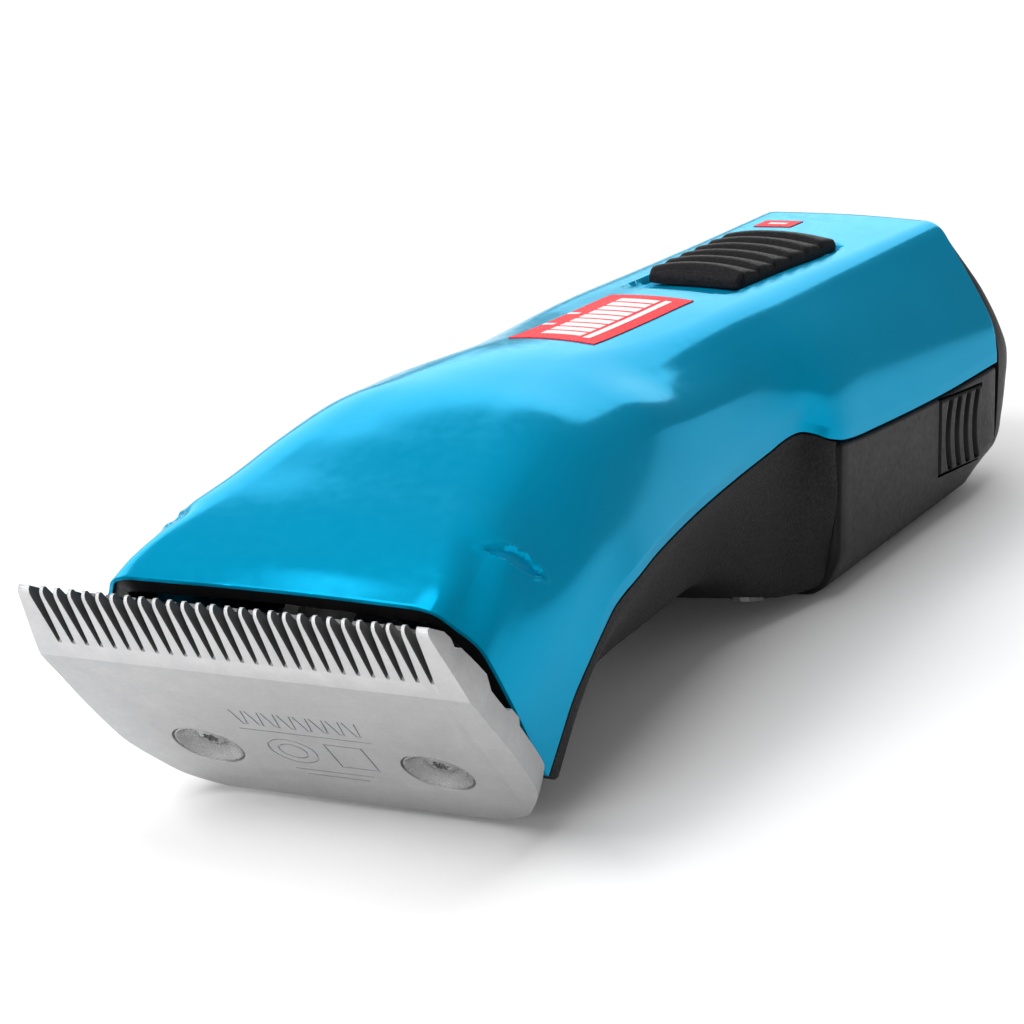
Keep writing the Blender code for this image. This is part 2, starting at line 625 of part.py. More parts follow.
def build_hinge():
    """The arm on the blade's side, and the pin, bracket and screws on the body's side."""
    thing = new_object("hinge_arm", block((14.4, 13.0, 1.6), (0, 22.6, 4.5)), "zinc", blade)
    join(thing, block((14.4, 1.8, 4.6), (0, HINGE_S, 5.6)))
    join(thing, rod(2.7, 14.4, (0, HINGE_S, HINGE_H), "X", sides=20))
    cut(thing, rod(PIN_R + 0.2, 20.0, (0, HINGE_S, HINGE_H), "X", sides=20))
    new_object("hinge_pin", rod(PIN_R, 20.4, (0, HINGE_S, HINGE_H), "X", sides=20), "spring_steel",
               head_frame)
    plate = new_object("hinge_bracket", block((24.0, 12.0, 1.6), (0, 46.2, -13.6)), "zinc", root)
    pin_y = BLADE_ORIGIN[1] + HINGE_S * math.cos(BLADE_ANGLE) + HINGE_H * math.sin(BLADE_ANGLE)
    pin_z = BLADE_ORIGIN[2] - HINGE_S * math.sin(BLADE_ANGLE) + HINGE_H * math.cos(BLADE_ANGLE)
    for side in (-1, 1):
        ear = [(pin_y - 2.4, pin_z - 1.2), (pin_y, pin_z - 2.6), (pin_y + 2.4, pin_z - 1.6), (44.0, -14.2),
               (44.0, -12.9), (38.6, -12.9), (pin_y - 2.6, pin_z + 1.0)]
        low, high = sorted((side * 7.7, side * 9.8))
        join(plate, prism(ear, low, high, "YZ"))
    cut(plate, rod(PIN_R + 0.2, 30.0, (0, pin_y, pin_z), "X", sides=20))
    for name, side in (("left", -1), ("right", 1)):
        cut(plate, rod(1.4, 6.0, (side * 9.5, 47.0, -14.0), sides=12))
        screw = new_object(f"hinge_screw_{name}", rod(2.2, 1.0, (0, 0, -0.5), sides=12), "dark_steel", root,
                           (side * 9.5, 47.0, -14.7))
        join(screw, rod(1.1, 5.6, (0, 0, 2.3), sides=12))


def build_latch():
    """The sprung catch that frees the hinge arm; its button shows in the housing's underside."""
    width, length, _ = LATCH_WINDOW
    button = length - LATCH_TRAVEL - 0.7
    front = LATCH_Y - length / 2 + 0.4
    thing = new_object("hinge_latch", block((width - 0.8, button, 4.3), (0, 0, -1.15)), "black_grip", root,
                       (0, front + button / 2, -14.7))
    join(thing, block((10.0, 5.0, 0.8), (0, 0.2, 0.7)))
    join(thing, block((4.0, 0.8, 2.8), (0, 2.1, 1.7)))
    points = [(x, z, y) for x, y, z in coil(0.9, 0.8, 2)]
    wire("latch_spring", points, 0.15, "spring_steel", root, (0, LATCH_Y + 3.7, -12.4))


# ---------------------------------------------------------------- drive

def build_lever():
    """The lever: a hub on the pivot pin, a fork behind it and an arm down to the cutter in front."""
    half_gap = BEARING_R + 2 * CRANK + 0.35
    thing = new_object("drive_lever", rod(4.2, 5.6, (0, 0, SHAFT_Z), sides=20), "white_nylon", lever_axis)
    join(thing, block((2 * half_gap + 5.0, 4.0, 3.6), (0, 5.4, SHAFT_Z)))
    for side in (-1, 1):
        join(thing, block((2.5, 10.5, 5.2), (side * (half_gap + 1.25), 9.3, SHAFT_Z)))
    arm = [(-2.6, -1.6), (-2.6, 3.2), (-8.0, 3.2), (-19.4, -3.2), (-22.2, -6.0), (-19.8, -7.9), (-17.0, -5.8),
           (-8.4, -1.4)]
    join(thing, prism(arm, -3.2, 3.2, "YZ"))
    tip_place = (0, -21.41, -7.48)
    hole = rod(1.9, 14.0, sides=12)
    bmesh.ops.rotate(hole, matrix=Matrix.Rotation(-BLADE_ANGLE, 3, "X"), verts=hole.verts)
    bmesh.ops.translate(hole, vec=tip_place, verts=hole.verts)
    cut(thing, hole)
    cut(thing, rod(2.5, 12.0, (0, 0, SHAFT_Z), sides=20))
    turned("lever_bush", ring_profile(2.3, 1.75, -1.4, 3.8), "brass", lever_axis)
    new_object("lever_pivot_pin", rod(1.5, 15.2, (0, 0, -1.9), sides=16), "spring_steel", lever_axis)
    new_object("drive_tip", rod(1.6, 5.4, sides=12), "white_nylon", lever_axis, tip_place,
               (-BLADE_ANGLE, 0, 0))


def build_motor():
    """Motor parts; motor_axis's Z runs forward along the shaft."""
    length = MOTOR_REAR - MOTOR_FRONT
    can = [(MOTOR_R - 0.6, -0.0), (MOTOR_R, -0.6), (MOTOR_R, -length), (MOTOR_R - 1.0, -length),
           (MOTOR_R - 1.0, -1.2), (1.9, -1.2), (1.9, 0.0)]
    turned("motor_can", can, "zinc", motor_axis, sides=24)
    turned("motor_magnet", ring_profile(10.2, 8.7, -30.0, -6.0), "magnet", motor_axis, sides=24)
    cap = [(MOTOR_R - 0.2, -length - 0.3), (MOTOR_R - 0.2, -length - 2.4), (1.9, -length - 2.4),
           (1.9, -length - 0.3)]
    turned("motor_end_cap", cap, "black_plastic", motor_axis, sides=24)
    turned("armature", ring_profile(8.3, 1.45, -28.0, -8.0), "copper", motor_axis, sides=16)
    turned("commutator", ring_profile(3.6, 1.45, -36.5, -30.5), "copper", motor_axis, sides=16)
    shaft = rod(1.15, length + 9.5, (0, 0, -(length + 9.5) / 2 + 6.8), sides=12)
    new_object("motor_shaft", shaft, "spring_steel", motor_axis)
    hub = new_object("eccentric", rod(4.2, 3.4, (0, 0, 5.5), sides=20), "brass", motor_axis)
    cut(hub, rod(1.45, 8.0, (0, 0, 2.95), sides=12))
    join(hub, rod(1.2, 5.0, (0, -CRANK, 9.3), sides=12))
    turned("eccentric_bearing", ring_profile(BEARING_R, 1.5, 7.5, 11.0), "spring_steel", motor_axis,
           (0, -CRANK, 0), sides=20)


# ---------------------------------------------------------------- electrics

def build_electrics():
    board = new_object("circuit_board", block((22.0, 43.0, 1.4), (0, 127.0, 13.0)), "green_board", root)
    cut(board, rod(1.5, 6.0, (8.0, 109.0, 13.0), sides=12))
    new_object("switch_module", block((8.0, 12.0, 1.4), (0, 136.0, 14.7)), "black_plastic", root)
    block_body = new_object("contact_block", block((22.0, 7.0, 12.0), (0, 110.6, 0.0)), "black_plastic", root)
    cut(block_body, block((14.0, 20.0, 4.0), (0, 110.6, 1.5)))
    for name, side in (("left", -1), ("right", 1)):
        strip = [(114.4, -4.0), (115.0, -4.0), (116.6, 0.0), (115.0, 4.0), (114.4, 4.0), (116.0, 0.0)]
        low, high = sorted((side * 7.6, side * 10.6))
        new_object(f"contact_spring_{name}", prism(strip, low, high, "YZ"), "copper", root)


def build_switch():
    """The slider cap with its ribs, and the carrier that reaches the switch; slider_frame's Y points rear."""
    length = SLIDER_REAR - SLIDER_FRONT
    right = [(3.0, -length), (SLIDER_NOSE_HALF - 0.9, -length + 0.5), (SLIDER_NOSE_HALF, -length + 1.6),
             (SLIDER_HALF, -1.8), (SLIDER_HALF - 1.0, -0.5), (3.0, 0.0)]
    outline = right + [(-x, y) for x, y in reversed(right)]
    cap = new_object("switch_slider", prism(outline, 0.9, 1.7), "black_grip", slider_frame)
    for i in range(SLIDER_RIBS):
        y = -length + 4.6 + i * RIB_PITCH
        half = SLIDER_NOSE_HALF - 0.9
        rib = [(y - 1.8, 1.4), (y + 2.0, 1.4), (y + 1.8, 2.2), (y - 0.9, 2.5)]
        join(cap, prism(rib, -half, half, "YZ"))
    cut(cap, block((STEM_WIDTH + STEM_GAP, STEM_LENGTH + 1.0, 0.8), (0, STEM_Y, 0.9)))
    carrier = new_object("switch_carrier", block((9.0, 15.0, 1.0), (0, STEM_Y, -3.2)), "black_plastic",
                         slider_frame)
    join(carrier, block((STEM_WIDTH, STEM_LENGTH, 4.7), (0, STEM_Y, -1.35)))


# ---------------------------------------------------------------- battery

def rest_plane(y):
    """Height of the resting plane at y in the handle frame."""
    return (y * math.sin(REST_PITCH) - REST_LIFT) / math.cos(REST_PITCH)


def battery_section(y):
    """Right half of the case's section at y, top to bottom."""
    lowest = rest_plane(y)
    floor = lowest + FLOOR_RISE * max(y - FLOOR_END, 0.0)
    shoulder = on_curve(RIM, y).z - SEAM - 0.1
    return [(17.2, 7.0), (18.6, 5.4), (18.6, shoulder), (BATTERY_HALF, shoulder),
            (BATTERY_HALF, lowest + 5.2), (BATTERY_FLOOR_HALF + 2.2, floor + 1.4),
            (BATTERY_FLOOR_HALF, floor)]


def loft(sections):
    """A closed bmesh through rings of points with the same count."""
    bm = bmesh.new()
    rings = [[bm.verts.new(spot) for spot in ring] for ring in sections]
    count = len(rings[0])
    for near, far in zip(rings, rings[1:]):
        for i in range(count):
            j = (i + 1) % count
            bm.faces.new((near[i], near[j], far[j], far[i]))
    bm.faces.new(rings[0])
    bm.faces.new(rings[-1])
    bmesh.ops.recalc_face_normals(bm, faces=bm.faces)
    return bm


def build_battery():
    rings = []
    for y in (BATTERY_FRONT, 119.6, 128.0, 152.0, FLOOR_END, 173.8):
        half = battery_section(y)
        ring = [(x, y, z) for x, z in half] + [(-x, y, z) for x, z in reversed(half)]
        rings.append(ring)
    thing = new_object("battery_case", loft(rings), "black_plastic", battery_frame)
    cell_y = 120.6 + CELL_LENGTH / 2
    cut(thing, block((34.8, 51.6, 24.0), (0, 145.8, 1.0)))
    for side in (-1, 1):
        opening = (8.0, BUTTON_SIZE[1] + 0.6, BUTTON_SIZE[2] + 0.6)
        cut(thing, block(opening, (side * 22.5, BUTTON_Y, BUTTON_Z)))
        cut(thing, block((5.0, 2.0, 8.0), (side * 9.5, 118.0, 0.0)))
    lid = [(-17.2, 7.3), (17.2, 7.3), (16.4, 8.6), (-16.4, 8.6)]
    new_object("battery_cover", prism(lid, 118.2, 173.4, "XZ"), "black_plastic", battery_frame)
    for name, side in (("left", -1), ("right", 1)):
        cell = rod(CELL_R, CELL_LENGTH, (side * CELL_X, cell_y, CELL_Z), "Y", sides=20)
        new_object(f"battery_cell_{name}", cell, "cell_wrap", battery_frame)
        new_object(f"battery_terminal_{name}", block((4.4, 0.6, 7.4), (side * 9.5, 118.4, 0.0)), "brass",
                   battery_frame)
        build_release(name, side)
    link = block((22.0, 0.3, 8.0), (0, cell_y + CELL_LENGTH / 2 + 0.45, CELL_Z))
    new_object("cell_link", link, "spring_steel", battery_frame)


def build_end_cap():
    """The rear wall of the pack, which also closes the rear of the top shell."""
    front = [(12.4, 21.5), (15.3, 17.5), (18.2, 13.4), (20.2, 9.6), (21.9, 5.2), (22.0, 2.4), (21.9, -3.0),
             (21.6, -7.8), (20.2, -9.9), (18.0, -11.2)]
    bulge = [(11.6, 20.7, 176.2), (14.8, 16.8, 177.0), (17.6, 12.9, 177.9), (19.6, 9.2, 178.6),
             (21.3, 5.0, 179.0), (21.4, 2.4, 179.1), (21.0, -2.6, 178.5), (20.5, -6.2, 177.6),
             (19.2, -8.2, 177.2), (17.0, -9.4, 177.0)]
    near = [(x, 174.5, z) for x, z in front] + [(-x, 174.5, z) for x, z in reversed(front)]
    middle = [(x, 175.0, z) for x, z in front] + [(-x, 175.0, z) for x, z in reversed(front)]
    far = [(x, y, z) for x, z, y in bulge] + [(-x, y, z) for x, z, y in reversed(bulge)]
    bm = loft([near, middle, far])
    bmesh.ops.triangulate(bm, faces=[f for f in bm.faces if len(f.verts) > 4])
    new_object("battery_end_cap", bm, "black_plastic", battery_frame)


def build_release(name, side):
    """A push button on the side of the pack with its return spring."""
    axis = new_empty(f"release_{name}_frame", battery_frame, (side * BATTERY_HALF, BUTTON_Y, BUTTON_Z))
    depth, length, height = BUTTON_SIZE
    pad = block((depth, length, height), (-side * (depth / 2 - 0.2), 0, 0))
    thing = new_object(f"release_button_{name}", pad, "black_grip", axis)
    grooves = [block((1.2, 1.1, height), (side * 0.5, -4.6 + i * 3.1, 1.0)) for i in range(BUTTON_GROOVES)]
    cut(thing, merged(*grooves))
    bore_x = -side * (depth - 0.2)
    cut(thing, rod(1.7, 2.2, (bore_x, 0, 0), "X", sides=12))
    points = [(side * (z - 3.2), y, x) for x, y, z in coil(1.1, 0.75, 2)]
    wire(f"release_spring_{name}", points, 0.15, "spring_steel", axis)


build_top_shell()
build_label()
build_lower_housing()
build_head_frame()
build_chassis()
build_housing_screws()
build_comb()
build_comb_screws()
build_cutter()
build_socket()
build_tension_spring()
build_hinge()
build_latch()
build_lever()
build_motor()
build_electrics()
build_switch()
build_battery()
build_end_cap()
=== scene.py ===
"""Looks of a cordless animal clipper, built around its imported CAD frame.

Lengths are millimetres in one of three frames: the handle frame (Y runs from the nose to the rear, Z up
out of the blue cover), the blade frame (Y runs from the teeth to the heel, Z from the ground face inwards)
and the slider frame (at the slider's rear foot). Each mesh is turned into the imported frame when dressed.
"""

import json
import math

import bmesh
import bpy
import numpy as np
from mathutils import Matrix, Vector


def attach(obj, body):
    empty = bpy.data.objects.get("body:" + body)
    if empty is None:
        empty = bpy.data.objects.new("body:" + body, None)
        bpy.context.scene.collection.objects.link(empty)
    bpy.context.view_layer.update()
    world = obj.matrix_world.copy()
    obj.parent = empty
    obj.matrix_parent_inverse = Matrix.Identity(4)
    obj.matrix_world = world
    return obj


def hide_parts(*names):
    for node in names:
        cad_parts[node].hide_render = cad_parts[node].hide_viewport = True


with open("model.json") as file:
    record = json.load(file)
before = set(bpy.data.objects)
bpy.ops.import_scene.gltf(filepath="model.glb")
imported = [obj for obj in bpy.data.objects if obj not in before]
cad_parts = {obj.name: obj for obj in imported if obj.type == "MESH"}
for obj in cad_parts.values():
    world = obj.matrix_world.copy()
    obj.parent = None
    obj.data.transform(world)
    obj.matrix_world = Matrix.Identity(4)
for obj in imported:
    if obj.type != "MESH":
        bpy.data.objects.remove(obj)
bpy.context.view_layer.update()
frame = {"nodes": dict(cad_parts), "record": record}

MM = 0.001
SIDES = (("left", -1), ("right", 1))

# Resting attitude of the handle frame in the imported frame
REST_PITCH = math.radians(6.1)
REST_LIFT = 31.73
REST_SHIFT = -89.247

# Housing, as in the CAD part
WALL = 2.0
BAND_REAR = 18.8
SEAM = 0.3
LIP = 1.3
FRONT = 10.8
FRONT_LEAN = 17.3
LEAN_END = 60.0
REAR = 174.0
LOWER_FRONT = 28.3
LOWER_REAR = 117.4
FRONT_POST = (15.0, 54.0)
REAR_POST = (14.2, 107.0)

# Blade set, as in the CAD part
BLADE_ANGLE = math.radians(38.37)
BLADE_ORIGIN = (0.0, 6.70, -8.65)
TOOTH_PITCH = 1.75
GAP_COUNT = 27
TIP_S = -10.7
CUT_PLANE = 3.4
RAIL_HALF = 22.8
COMB_HALF = 26.5
SCREW_X = 14.4
SCREW_S = 20.0

# Slide switch and battery, as in the CAD part
SLIDER_FRONT = 121.5
SLIDER_REAR = 152.0
SLIDER_HALF = 7.6
SLIDER_NOSE_HALF = 6.7
SLIDER_TRAVEL = 5.0
SLIDER_SLOPE = math.radians(2.9)
SLIDER_BASE = 20.7
BATTERY_FRONT = 118.0
BATTERY_HALF = 22.0
BATTERY_FLOOR_HALF = 18.0
FLOOR_END = 167.0
FLOOR_RISE = 0.3
BUTTON_Y = 160.2
BUTTON_Z = -4.0
BUTTON_SIZE = (2.0, 15.4, 10.0)

# Guide curves of the housing's right half: knots of (y, x, z), front to rear
CENTRE = [(10.8, 0, 0.3), (14.5, 0, 2.4), (19, 0, 4.2), (25, 0, 6.6), (33, 0, 9.3), (42, 0, 12.4),
          (52, 0, 15.4), (60, 0, 16.9), (68, 0, 17.7), (74, 0, 17.9), (84, 0, 18.1), (96, 0, 18.7),
          (106, 0, 19.3), (118, 0, 19.7), (132, 0, 20.3), (150, 0, 21.15), (174, 0, 22.3)]
EDGE = [(10.8, 19.7, 0.0), (14.5, 19.9, 1.7), (19, 19.0, 3.8), (25, 17.6, 6.0), (33, 16.1, 8.6),
        (42, 14.7, 11.6), (52, 12.8, 14.4), (60, 10.8, 15.6), (68, 9.6, 16.5), (74, 9.4, 17.0),
        (84, 11.0, 17.1), (96, 12.1, 17.6), (106, 12.3, 18.2), (118, 12.1, 18.9), (132, 12.2, 19.6),
        (150, 12.6, 20.5), (174, 13.0, 21.9)]
FLANK = [(14.6, 23.2, -3.6), (18, 22.8, -0.8), (23, 22.2, 2.0), (28, 21.3, 3.6), (36, 20.0, 5.8),
         (45, 19.2, 8.6), (55, 18.5, 11.2), (64, 18.3, 12.4), (71, 18.5, 12.7), (80, 18.5, 12.3),
         (92, 18.0, 12.2), (104, 17.6, 12.8), (118, 18.2, 13.6), (132, 18.4, 13.8), (174, 18.4, 13.7)]
SIDE = [(19.0, 25.0, -11.1), (24, 25.0, -7.8), (30, 24.7, -4.0), (38, 23.8, 0.0), (47, 22.6, 3.0),
        (57, 21.4, 5.0), (70, 20.2, 6.2), (84, 19.4, 6.6), (96, 19.0, 7.0), (106, 19.2, 7.6),
        (118, 21.1, 8.0), (132, 21.3, 8.2), (174, 21.4, 8.4)]
RIM = [(28.1, 25.0, -21.5), (31, 25.0, -18.0), (34.2, 25.0, -14.2), (38.5, 25.0, -10.6),
       (42.4, 24.8, -8.0), (46.3, 24.5, -5.9), (53.8, 24.0, -3.9), (61.4, 23.0, -2.5), (77, 21.0, -0.7),
       (92.3, 19.5, 0.8), (102.5, 19.0, 2.0), (107.2, 19.0, 2.8), (111.3, 19.3, 3.1),
       (113.8, 20.3, 2.6), (116, 21.3, 1.7), (119.5, 22.0, 1.1), (127.9, 22.0, 1.0),
       (152.5, 22.0, 1.8), (174, 21.9, 3.2)]
SKIRT = [(31.2, 25.0, -22.0), (34.7, 24.9, -17.5), (40.6, 24.6, -11.8), (46.5, 24.1, -9.3),
         (54, 23.4, -7.2), (62, 22.3, -5.8), (77, 20.5, -4.0), (92, 19.2, -3.0), (102, 18.8, -2.5),
         (108, 19.2, -3.2), (113, 20.6, -4.4), (117.4, 22.0, -6.0)]
CHINE = [(33.3, 21.5, -22.4), (38, 19.5, -20.6), (45, 18.0, -18.4), (57, 17.0, -16.2),
         (72, 16.5, -14.5), (88, 16.0, -12.8), (95, 16.6, -13.8), (101, 17.5, -15.8),
         (107, 18.4, -17.3), (112, 19.2, -18.0), (117.4, 20.0, -18.2)]
KEEL = [(38.3, 0, -21.6), (45, 0, -19.6), (57, 0, -17.4), (72, 0, -15.8), (88, 0, -14.0),
        (95, 0, -15.2), (101, 0, -17.4), (107, 0, -19.0), (112, 0, -19.5), (117.4, 0, -18.9)]

# Camera, in the handle frame
CAMERA_PLACE = (236.51, -407.14, 100.99)
CAMERA_AZIMUTH = math.radians(26.39)
CAMERA_ELEVATION = math.radians(10.9)
SENSOR = 36.0
LENS = 160.85

TO_ROW = Matrix.Scale(MM, 4)
HANDLE = Matrix.Translation((0, REST_SHIFT, REST_LIFT)) @ Matrix.Rotation(-REST_PITCH, 4, "X")
BLADE = HANDLE @ Matrix.Translation(BLADE_ORIGIN) @ Matrix.Rotation(-BLADE_ANGLE, 4, "X")
SLIDER = HANDLE @ Matrix.Translation((0, SLIDER_REAR, SLIDER_BASE)) @ Matrix.Rotation(SLIDER_SLOPE, 4, "X")


# ---- meshes

def on_curve(knots, y):
    """The point of a guide curve at y, on a smooth curve through its knots."""
    y = min(max(y, knots[0][0]), knots[-1][0])
    last = len(knots) - 2
    i = 0
    while i < last and y > knots[i + 1][0]:
        i += 1

    def slope(k, axis):
        a, b = max(k - 1, 0), min(k + 1, len(knots) - 1)
        return (knots[b][axis] - knots[a][axis]) / (knots[b][0] - knots[a][0])

    span = knots[i + 1][0] - knots[i][0]
    t = (y - knots[i][0]) / span
    spot = []
    for axis in (1, 2):
        start, end = knots[i][axis], knots[i + 1][axis]
        spot.append((2 * t**3 - 3 * t**2 + 1) * start + (t**3 - 2 * t**2 + t) * span * slope(i, axis)
                    + (3 * t**2 - 2 * t**3) * end + (t**3 - t**2) * span * slope(i + 1, axis))
    return Vector((spot[0], y, spot[1]))


def along(table, y):
    """A value read from (y, value) pairs by straight lines between them."""
    return float(np.interp(y, [pair[0] for pair in table], [pair[1] for pair in table]))


def lean(y, start, amount):
    """How far a rib's far end stands behind its near end, fading out behind the head."""
    left = min(max((LEAN_END - y) / (LEAN_END - start), 0.0), 1.0)
    return amount * left**1.5


def beside_rim(y, up):
    """A point at a distance above (or below) the seam's edge, square to the seam in the side view."""
    spot = on_curve(RIM, y)
    run = on_curve(RIM, y + 0.5) - on_curve(RIM, y - 0.5)
    return spot + Vector((0, -run.z, run.y)).normalized() * up


def softened(corners, cuts, straight=5, arc=8):
    """Points along a polyline whose corner i is rounded over cuts[i] on each side."""
    points = []
    count = len(corners)
    reach = []
    for i in range(count):
        before = (corners[i] - corners[i - 1]).length if i else 0.0
        after = (corners[i + 1] - corners[i]).length if i < count - 1 else 0.0
        reach.append((min(cuts[i], 0.46 * before), min(cuts[i], 0.46 * after)))
    for i in range(count - 1):
        run = (corners[i + 1] - corners[i]).normalized()
        start = corners[i] + run * reach[i][1]
        end = corners[i + 1] - run * reach[i + 1][0]
        points += [start.lerp(end, k / straight) for k in range(straight + 1)]
        if i < count - 2:
            onward = (corners[i + 2] - corners[i + 1]).normalized()
            leave = corners[i + 1] + onward * reach[i + 1][1]
            for k in range(1, arc):
                t = k / arc
                points.append(end.lerp(corners[i + 1], t).lerp(corners[i + 1].lerp(leave, t), t))
    return points


def mirrored(right):
    """A right half that starts on the middle line, with its left half put before it."""
    return [Vector((-p.x, p.y, p.z)) for p in right[:0:-1]] + right


def whole_rib(right, cuts, straight=5, arc=8):
    """A rounded rib, left to right, from the corners of its right half."""
    return softened(mirrored(right), cuts[:0:-1] + cuts, straight, arc)


def grid_faces(rows, columns, closed=False):
    faces = []
    wrap = columns if closed else columns - 1
    for r in range(rows - 1):
        for c in range(wrap):
            d = (c + 1) % columns
            faces.append((r * columns + c, r * columns + d, (r + 1) * columns + d, (r + 1) * columns + c))
    return faces


def grid_normals(spots):
    """Unit normals of a grid of points, turned so that the one in the middle faces up."""
    down = np.gradient(spots, axis=0)
    across = np.gradient(spots, axis=1)
    normals = np.cross(across, down)
    normals = normals / np.maximum(np.linalg.norm(normals, axis=2, keepdims=True), 1e-9)
    middle = normals[spots.shape[0] // 2, spots.shape[1] // 2]
    return -normals if middle[2] < 0 else normals


def new_object(name, data):
    thing = bpy.data.objects.new(name, data)
    bpy.context.scene.collection.objects.link(thing)
    return thing


def mesh_object(name, verts, faces):
    mesh = bpy.data.meshes.new(name)
    mesh.from_pydata([tuple(v) for v in verts], [], faces)
    mesh.validate()
    return new_object(name, mesh)


def sheet_object(name, spots, outward, skipped=None):
    """An open surface over a grid of points, facing the given way on the whole."""
    flat = spots.reshape(-1, 3)
    faces = grid_faces(*spots.shape[:2])
    if skipped:
        faces = [face for face in faces if not skipped(flat[list(face)].mean(axis=0))]
    thing = mesh_object(name, flat, faces)
    facing = sum((face.normal * face.area for face in thing.data.polygons), Vector())
    if facing.dot(Vector(outward)) < 0:
        thing.data.flip_normals()
    return thing


def bm_object(name, bm):
    mesh = bpy.data.meshes.new(name)
    bmesh.ops.recalc_face_normals(bm, faces=bm.faces)
    bm.to_mesh(mesh)
    bm.free()
    return new_object(name, mesh)


def bmesh_of(thing):
    bm = bmesh.new()
    bm.from_mesh(thing.data)
    return bm


def face_out(thing):
    """Turns every face of a closed mesh outwards."""
    bm = bmesh_of(thing)
    bmesh.ops.recalc_face_normals(bm, faces=bm.faces)
    bm.to_mesh(thing.data)
    bm.free()
    return thing


def slab_object(name, top, back, rows, columns):
    """A closed slab between two grids of points with the same rows and columns."""
    start = len(top)
    faces = grid_faces(rows, columns)
    faces += [tuple(start + i for i in face[::-1]) for face in grid_faces(rows, columns)]
    rim = list(range(columns)) + [r * columns + columns - 1 for r in range(1, rows)]
    rim += [(rows - 1) * columns + c for c in range(columns - 2, -1, -1)]
    rim += [r * columns for r in range(rows - 2, 0, -1)]
    faces += [(a, b, start + b, start + a) for a, b in zip(rim, rim[1:] + rim[:1])]
    return face_out(mesh_object(name, top + back, faces))


def tube_object(name, rings):
    """A closed body through rings of points, with a flat face at each end."""
    columns = len(rings[0])
    faces = grid_faces(len(rings), columns, closed=True)
    faces.append(tuple(range(columns))[::-1])
    faces.append(tuple((len(rings) - 1) * columns + c for c in range(columns)))
    return face_out(mesh_object(name, [tuple(point) for ring in rings for point in ring], faces))


def with_left_half(half):
    """A closed ring from the points of its right half, whose ends are on the middle line."""
    return half + [Vector((-p.x, p.y, p.z)) for p in half[-2:0:-1]]


def shade(mesh, sharp):
    """Smooth shading, with creases where faces meet at more than an angle in degrees."""
    mesh.shade_smooth()
    mesh.set_sharp_from_angle(angle=math.radians(sharp))


def apply_modifiers(thing):
    depsgraph = bpy.context.evaluated_depsgraph_get()
    mesh = bpy.data.meshes.new_from_object(thing.evaluated_get(depsgraph))
    thing.modifiers.clear()
    thing.data = mesh


def settle(thing, sharp):
    """Turns the object's modifiers into its final mesh, shaded smooth up to an angle."""
    apply_modifiers(thing)
    shade(thing.data, sharp)


def solidify(thing, thickness):
    """A wall that grows inwards from the sheet."""
    wall = thing.modifiers.new("wall", "SOLIDIFY")
    wall.thickness = thickness
    wall.offset = -1.0
    wall.use_even_offset = False


def bevel(thing, width, segments, angle):
    edge = thing.modifiers.new("edge", "BEVEL")
    edge.width = width
    edge.segments = segments
    edge.limit_method = "ANGLE"
    edge.angle_limit = math.radians(angle)
    edge.use_clamp_overlap = True
    edge.harden_normals = False


def combine(thing, other, operation, overlapping=False):
    """A Boolean with another object, which is then removed."""
    step = thing.modifiers.new(operation.lower(), "BOOLEAN")
    step.operation = operation
    step.solver = "EXACT"
    step.use_self = overlapping
    step.object = other
    apply_modifiers(thing)
    bpy.data.objects.remove(other)


def prism(outline, low, high, plane="XY"):
    """A closed bmesh: an outline in the XY or YZ plane, extruded between two levels."""
    bm = bmesh.new()

    def spot(a, b, level):
        return (a, b, level) if plane == "XY" else (level, a, b)

    near = [bm.verts.new(spot(a, b, low)) for a, b in outline]
    far = [bm.verts.new(spot(a, b, high)) for a, b in outline]
    count = len(outline)
    for i in range(count):
        j = (i + 1) % count
        bm.faces.new((near[i], near[j], far[j], far[i]))
    bm.faces.new(near[::-1])
    bm.faces.new(far)
    bmesh.ops.recalc_face_normals(bm, faces=bm.faces)
    return bm


def block(size, centre):
    bm = bmesh.new()
    bmesh.ops.create_cube(bm, size=1.0)
    bmesh.ops.scale(bm, vec=size, verts=bm.verts)
    bmesh.ops.translate(bm, vec=centre, verts=bm.verts)
    return bm


def rod(radius, length, centre, axis="Z", sides=32):
    bm = bmesh.new()
    bmesh.ops.create_cone(bm, cap_ends=True, segments=sides, radius1=radius, radius2=radius, depth=length)
    if axis == "X":
        bmesh.ops.rotate(bm, matrix=Matrix.Rotation(math.pi / 2, 3, "Y"), verts=bm.verts)
    bmesh.ops.translate(bm, vec=centre, verts=bm.verts)
    return bm


def angles(sides):
    return [2 * math.pi * k / sides for k in range(sides)]


def turned(profile, centre, sides):
    """A bmesh of (radius, height) points spun about Z; a zero radius closes the end."""
    bm = bmesh.new()
    rings = []
    for radius, height in profile:
        if radius < 1e-6:
            rings.append([bm.verts.new((centre[0], centre[1], centre[2] + height))])
            continue
        rings.append([bm.verts.new((centre[0] + radius * math.cos(angle),
                                    centre[1] + radius * math.sin(angle), centre[2] + height))
                      for angle in angles(sides)])
    for near, far in zip(rings, rings[1:]):
        for k in range(sides):
            j = (k + 1) % sides
            corners = [near[k % len(near)], near[j % len(near)], far[j % len(far)], far[k % len(far)]]
            seen = []
            for vert in corners:
                if vert not in seen:
                    seen.append(vert)
            if len(seen) > 2:
                bm.faces.new(seen)
    bmesh.ops.recalc_face_normals(bm, faces=bm.faces)
    return bm


def merged(*meshes):
    """One bmesh holding several, each of which is freed."""
    whole = bmesh.new()
    for bm in meshes:
        mesh = bpy.data.meshes.new("merged")
        bm.to_mesh(mesh)
        bm.free()
        whole.from_mesh(mesh)
        bpy.data.meshes.remove(mesh)
    return whole


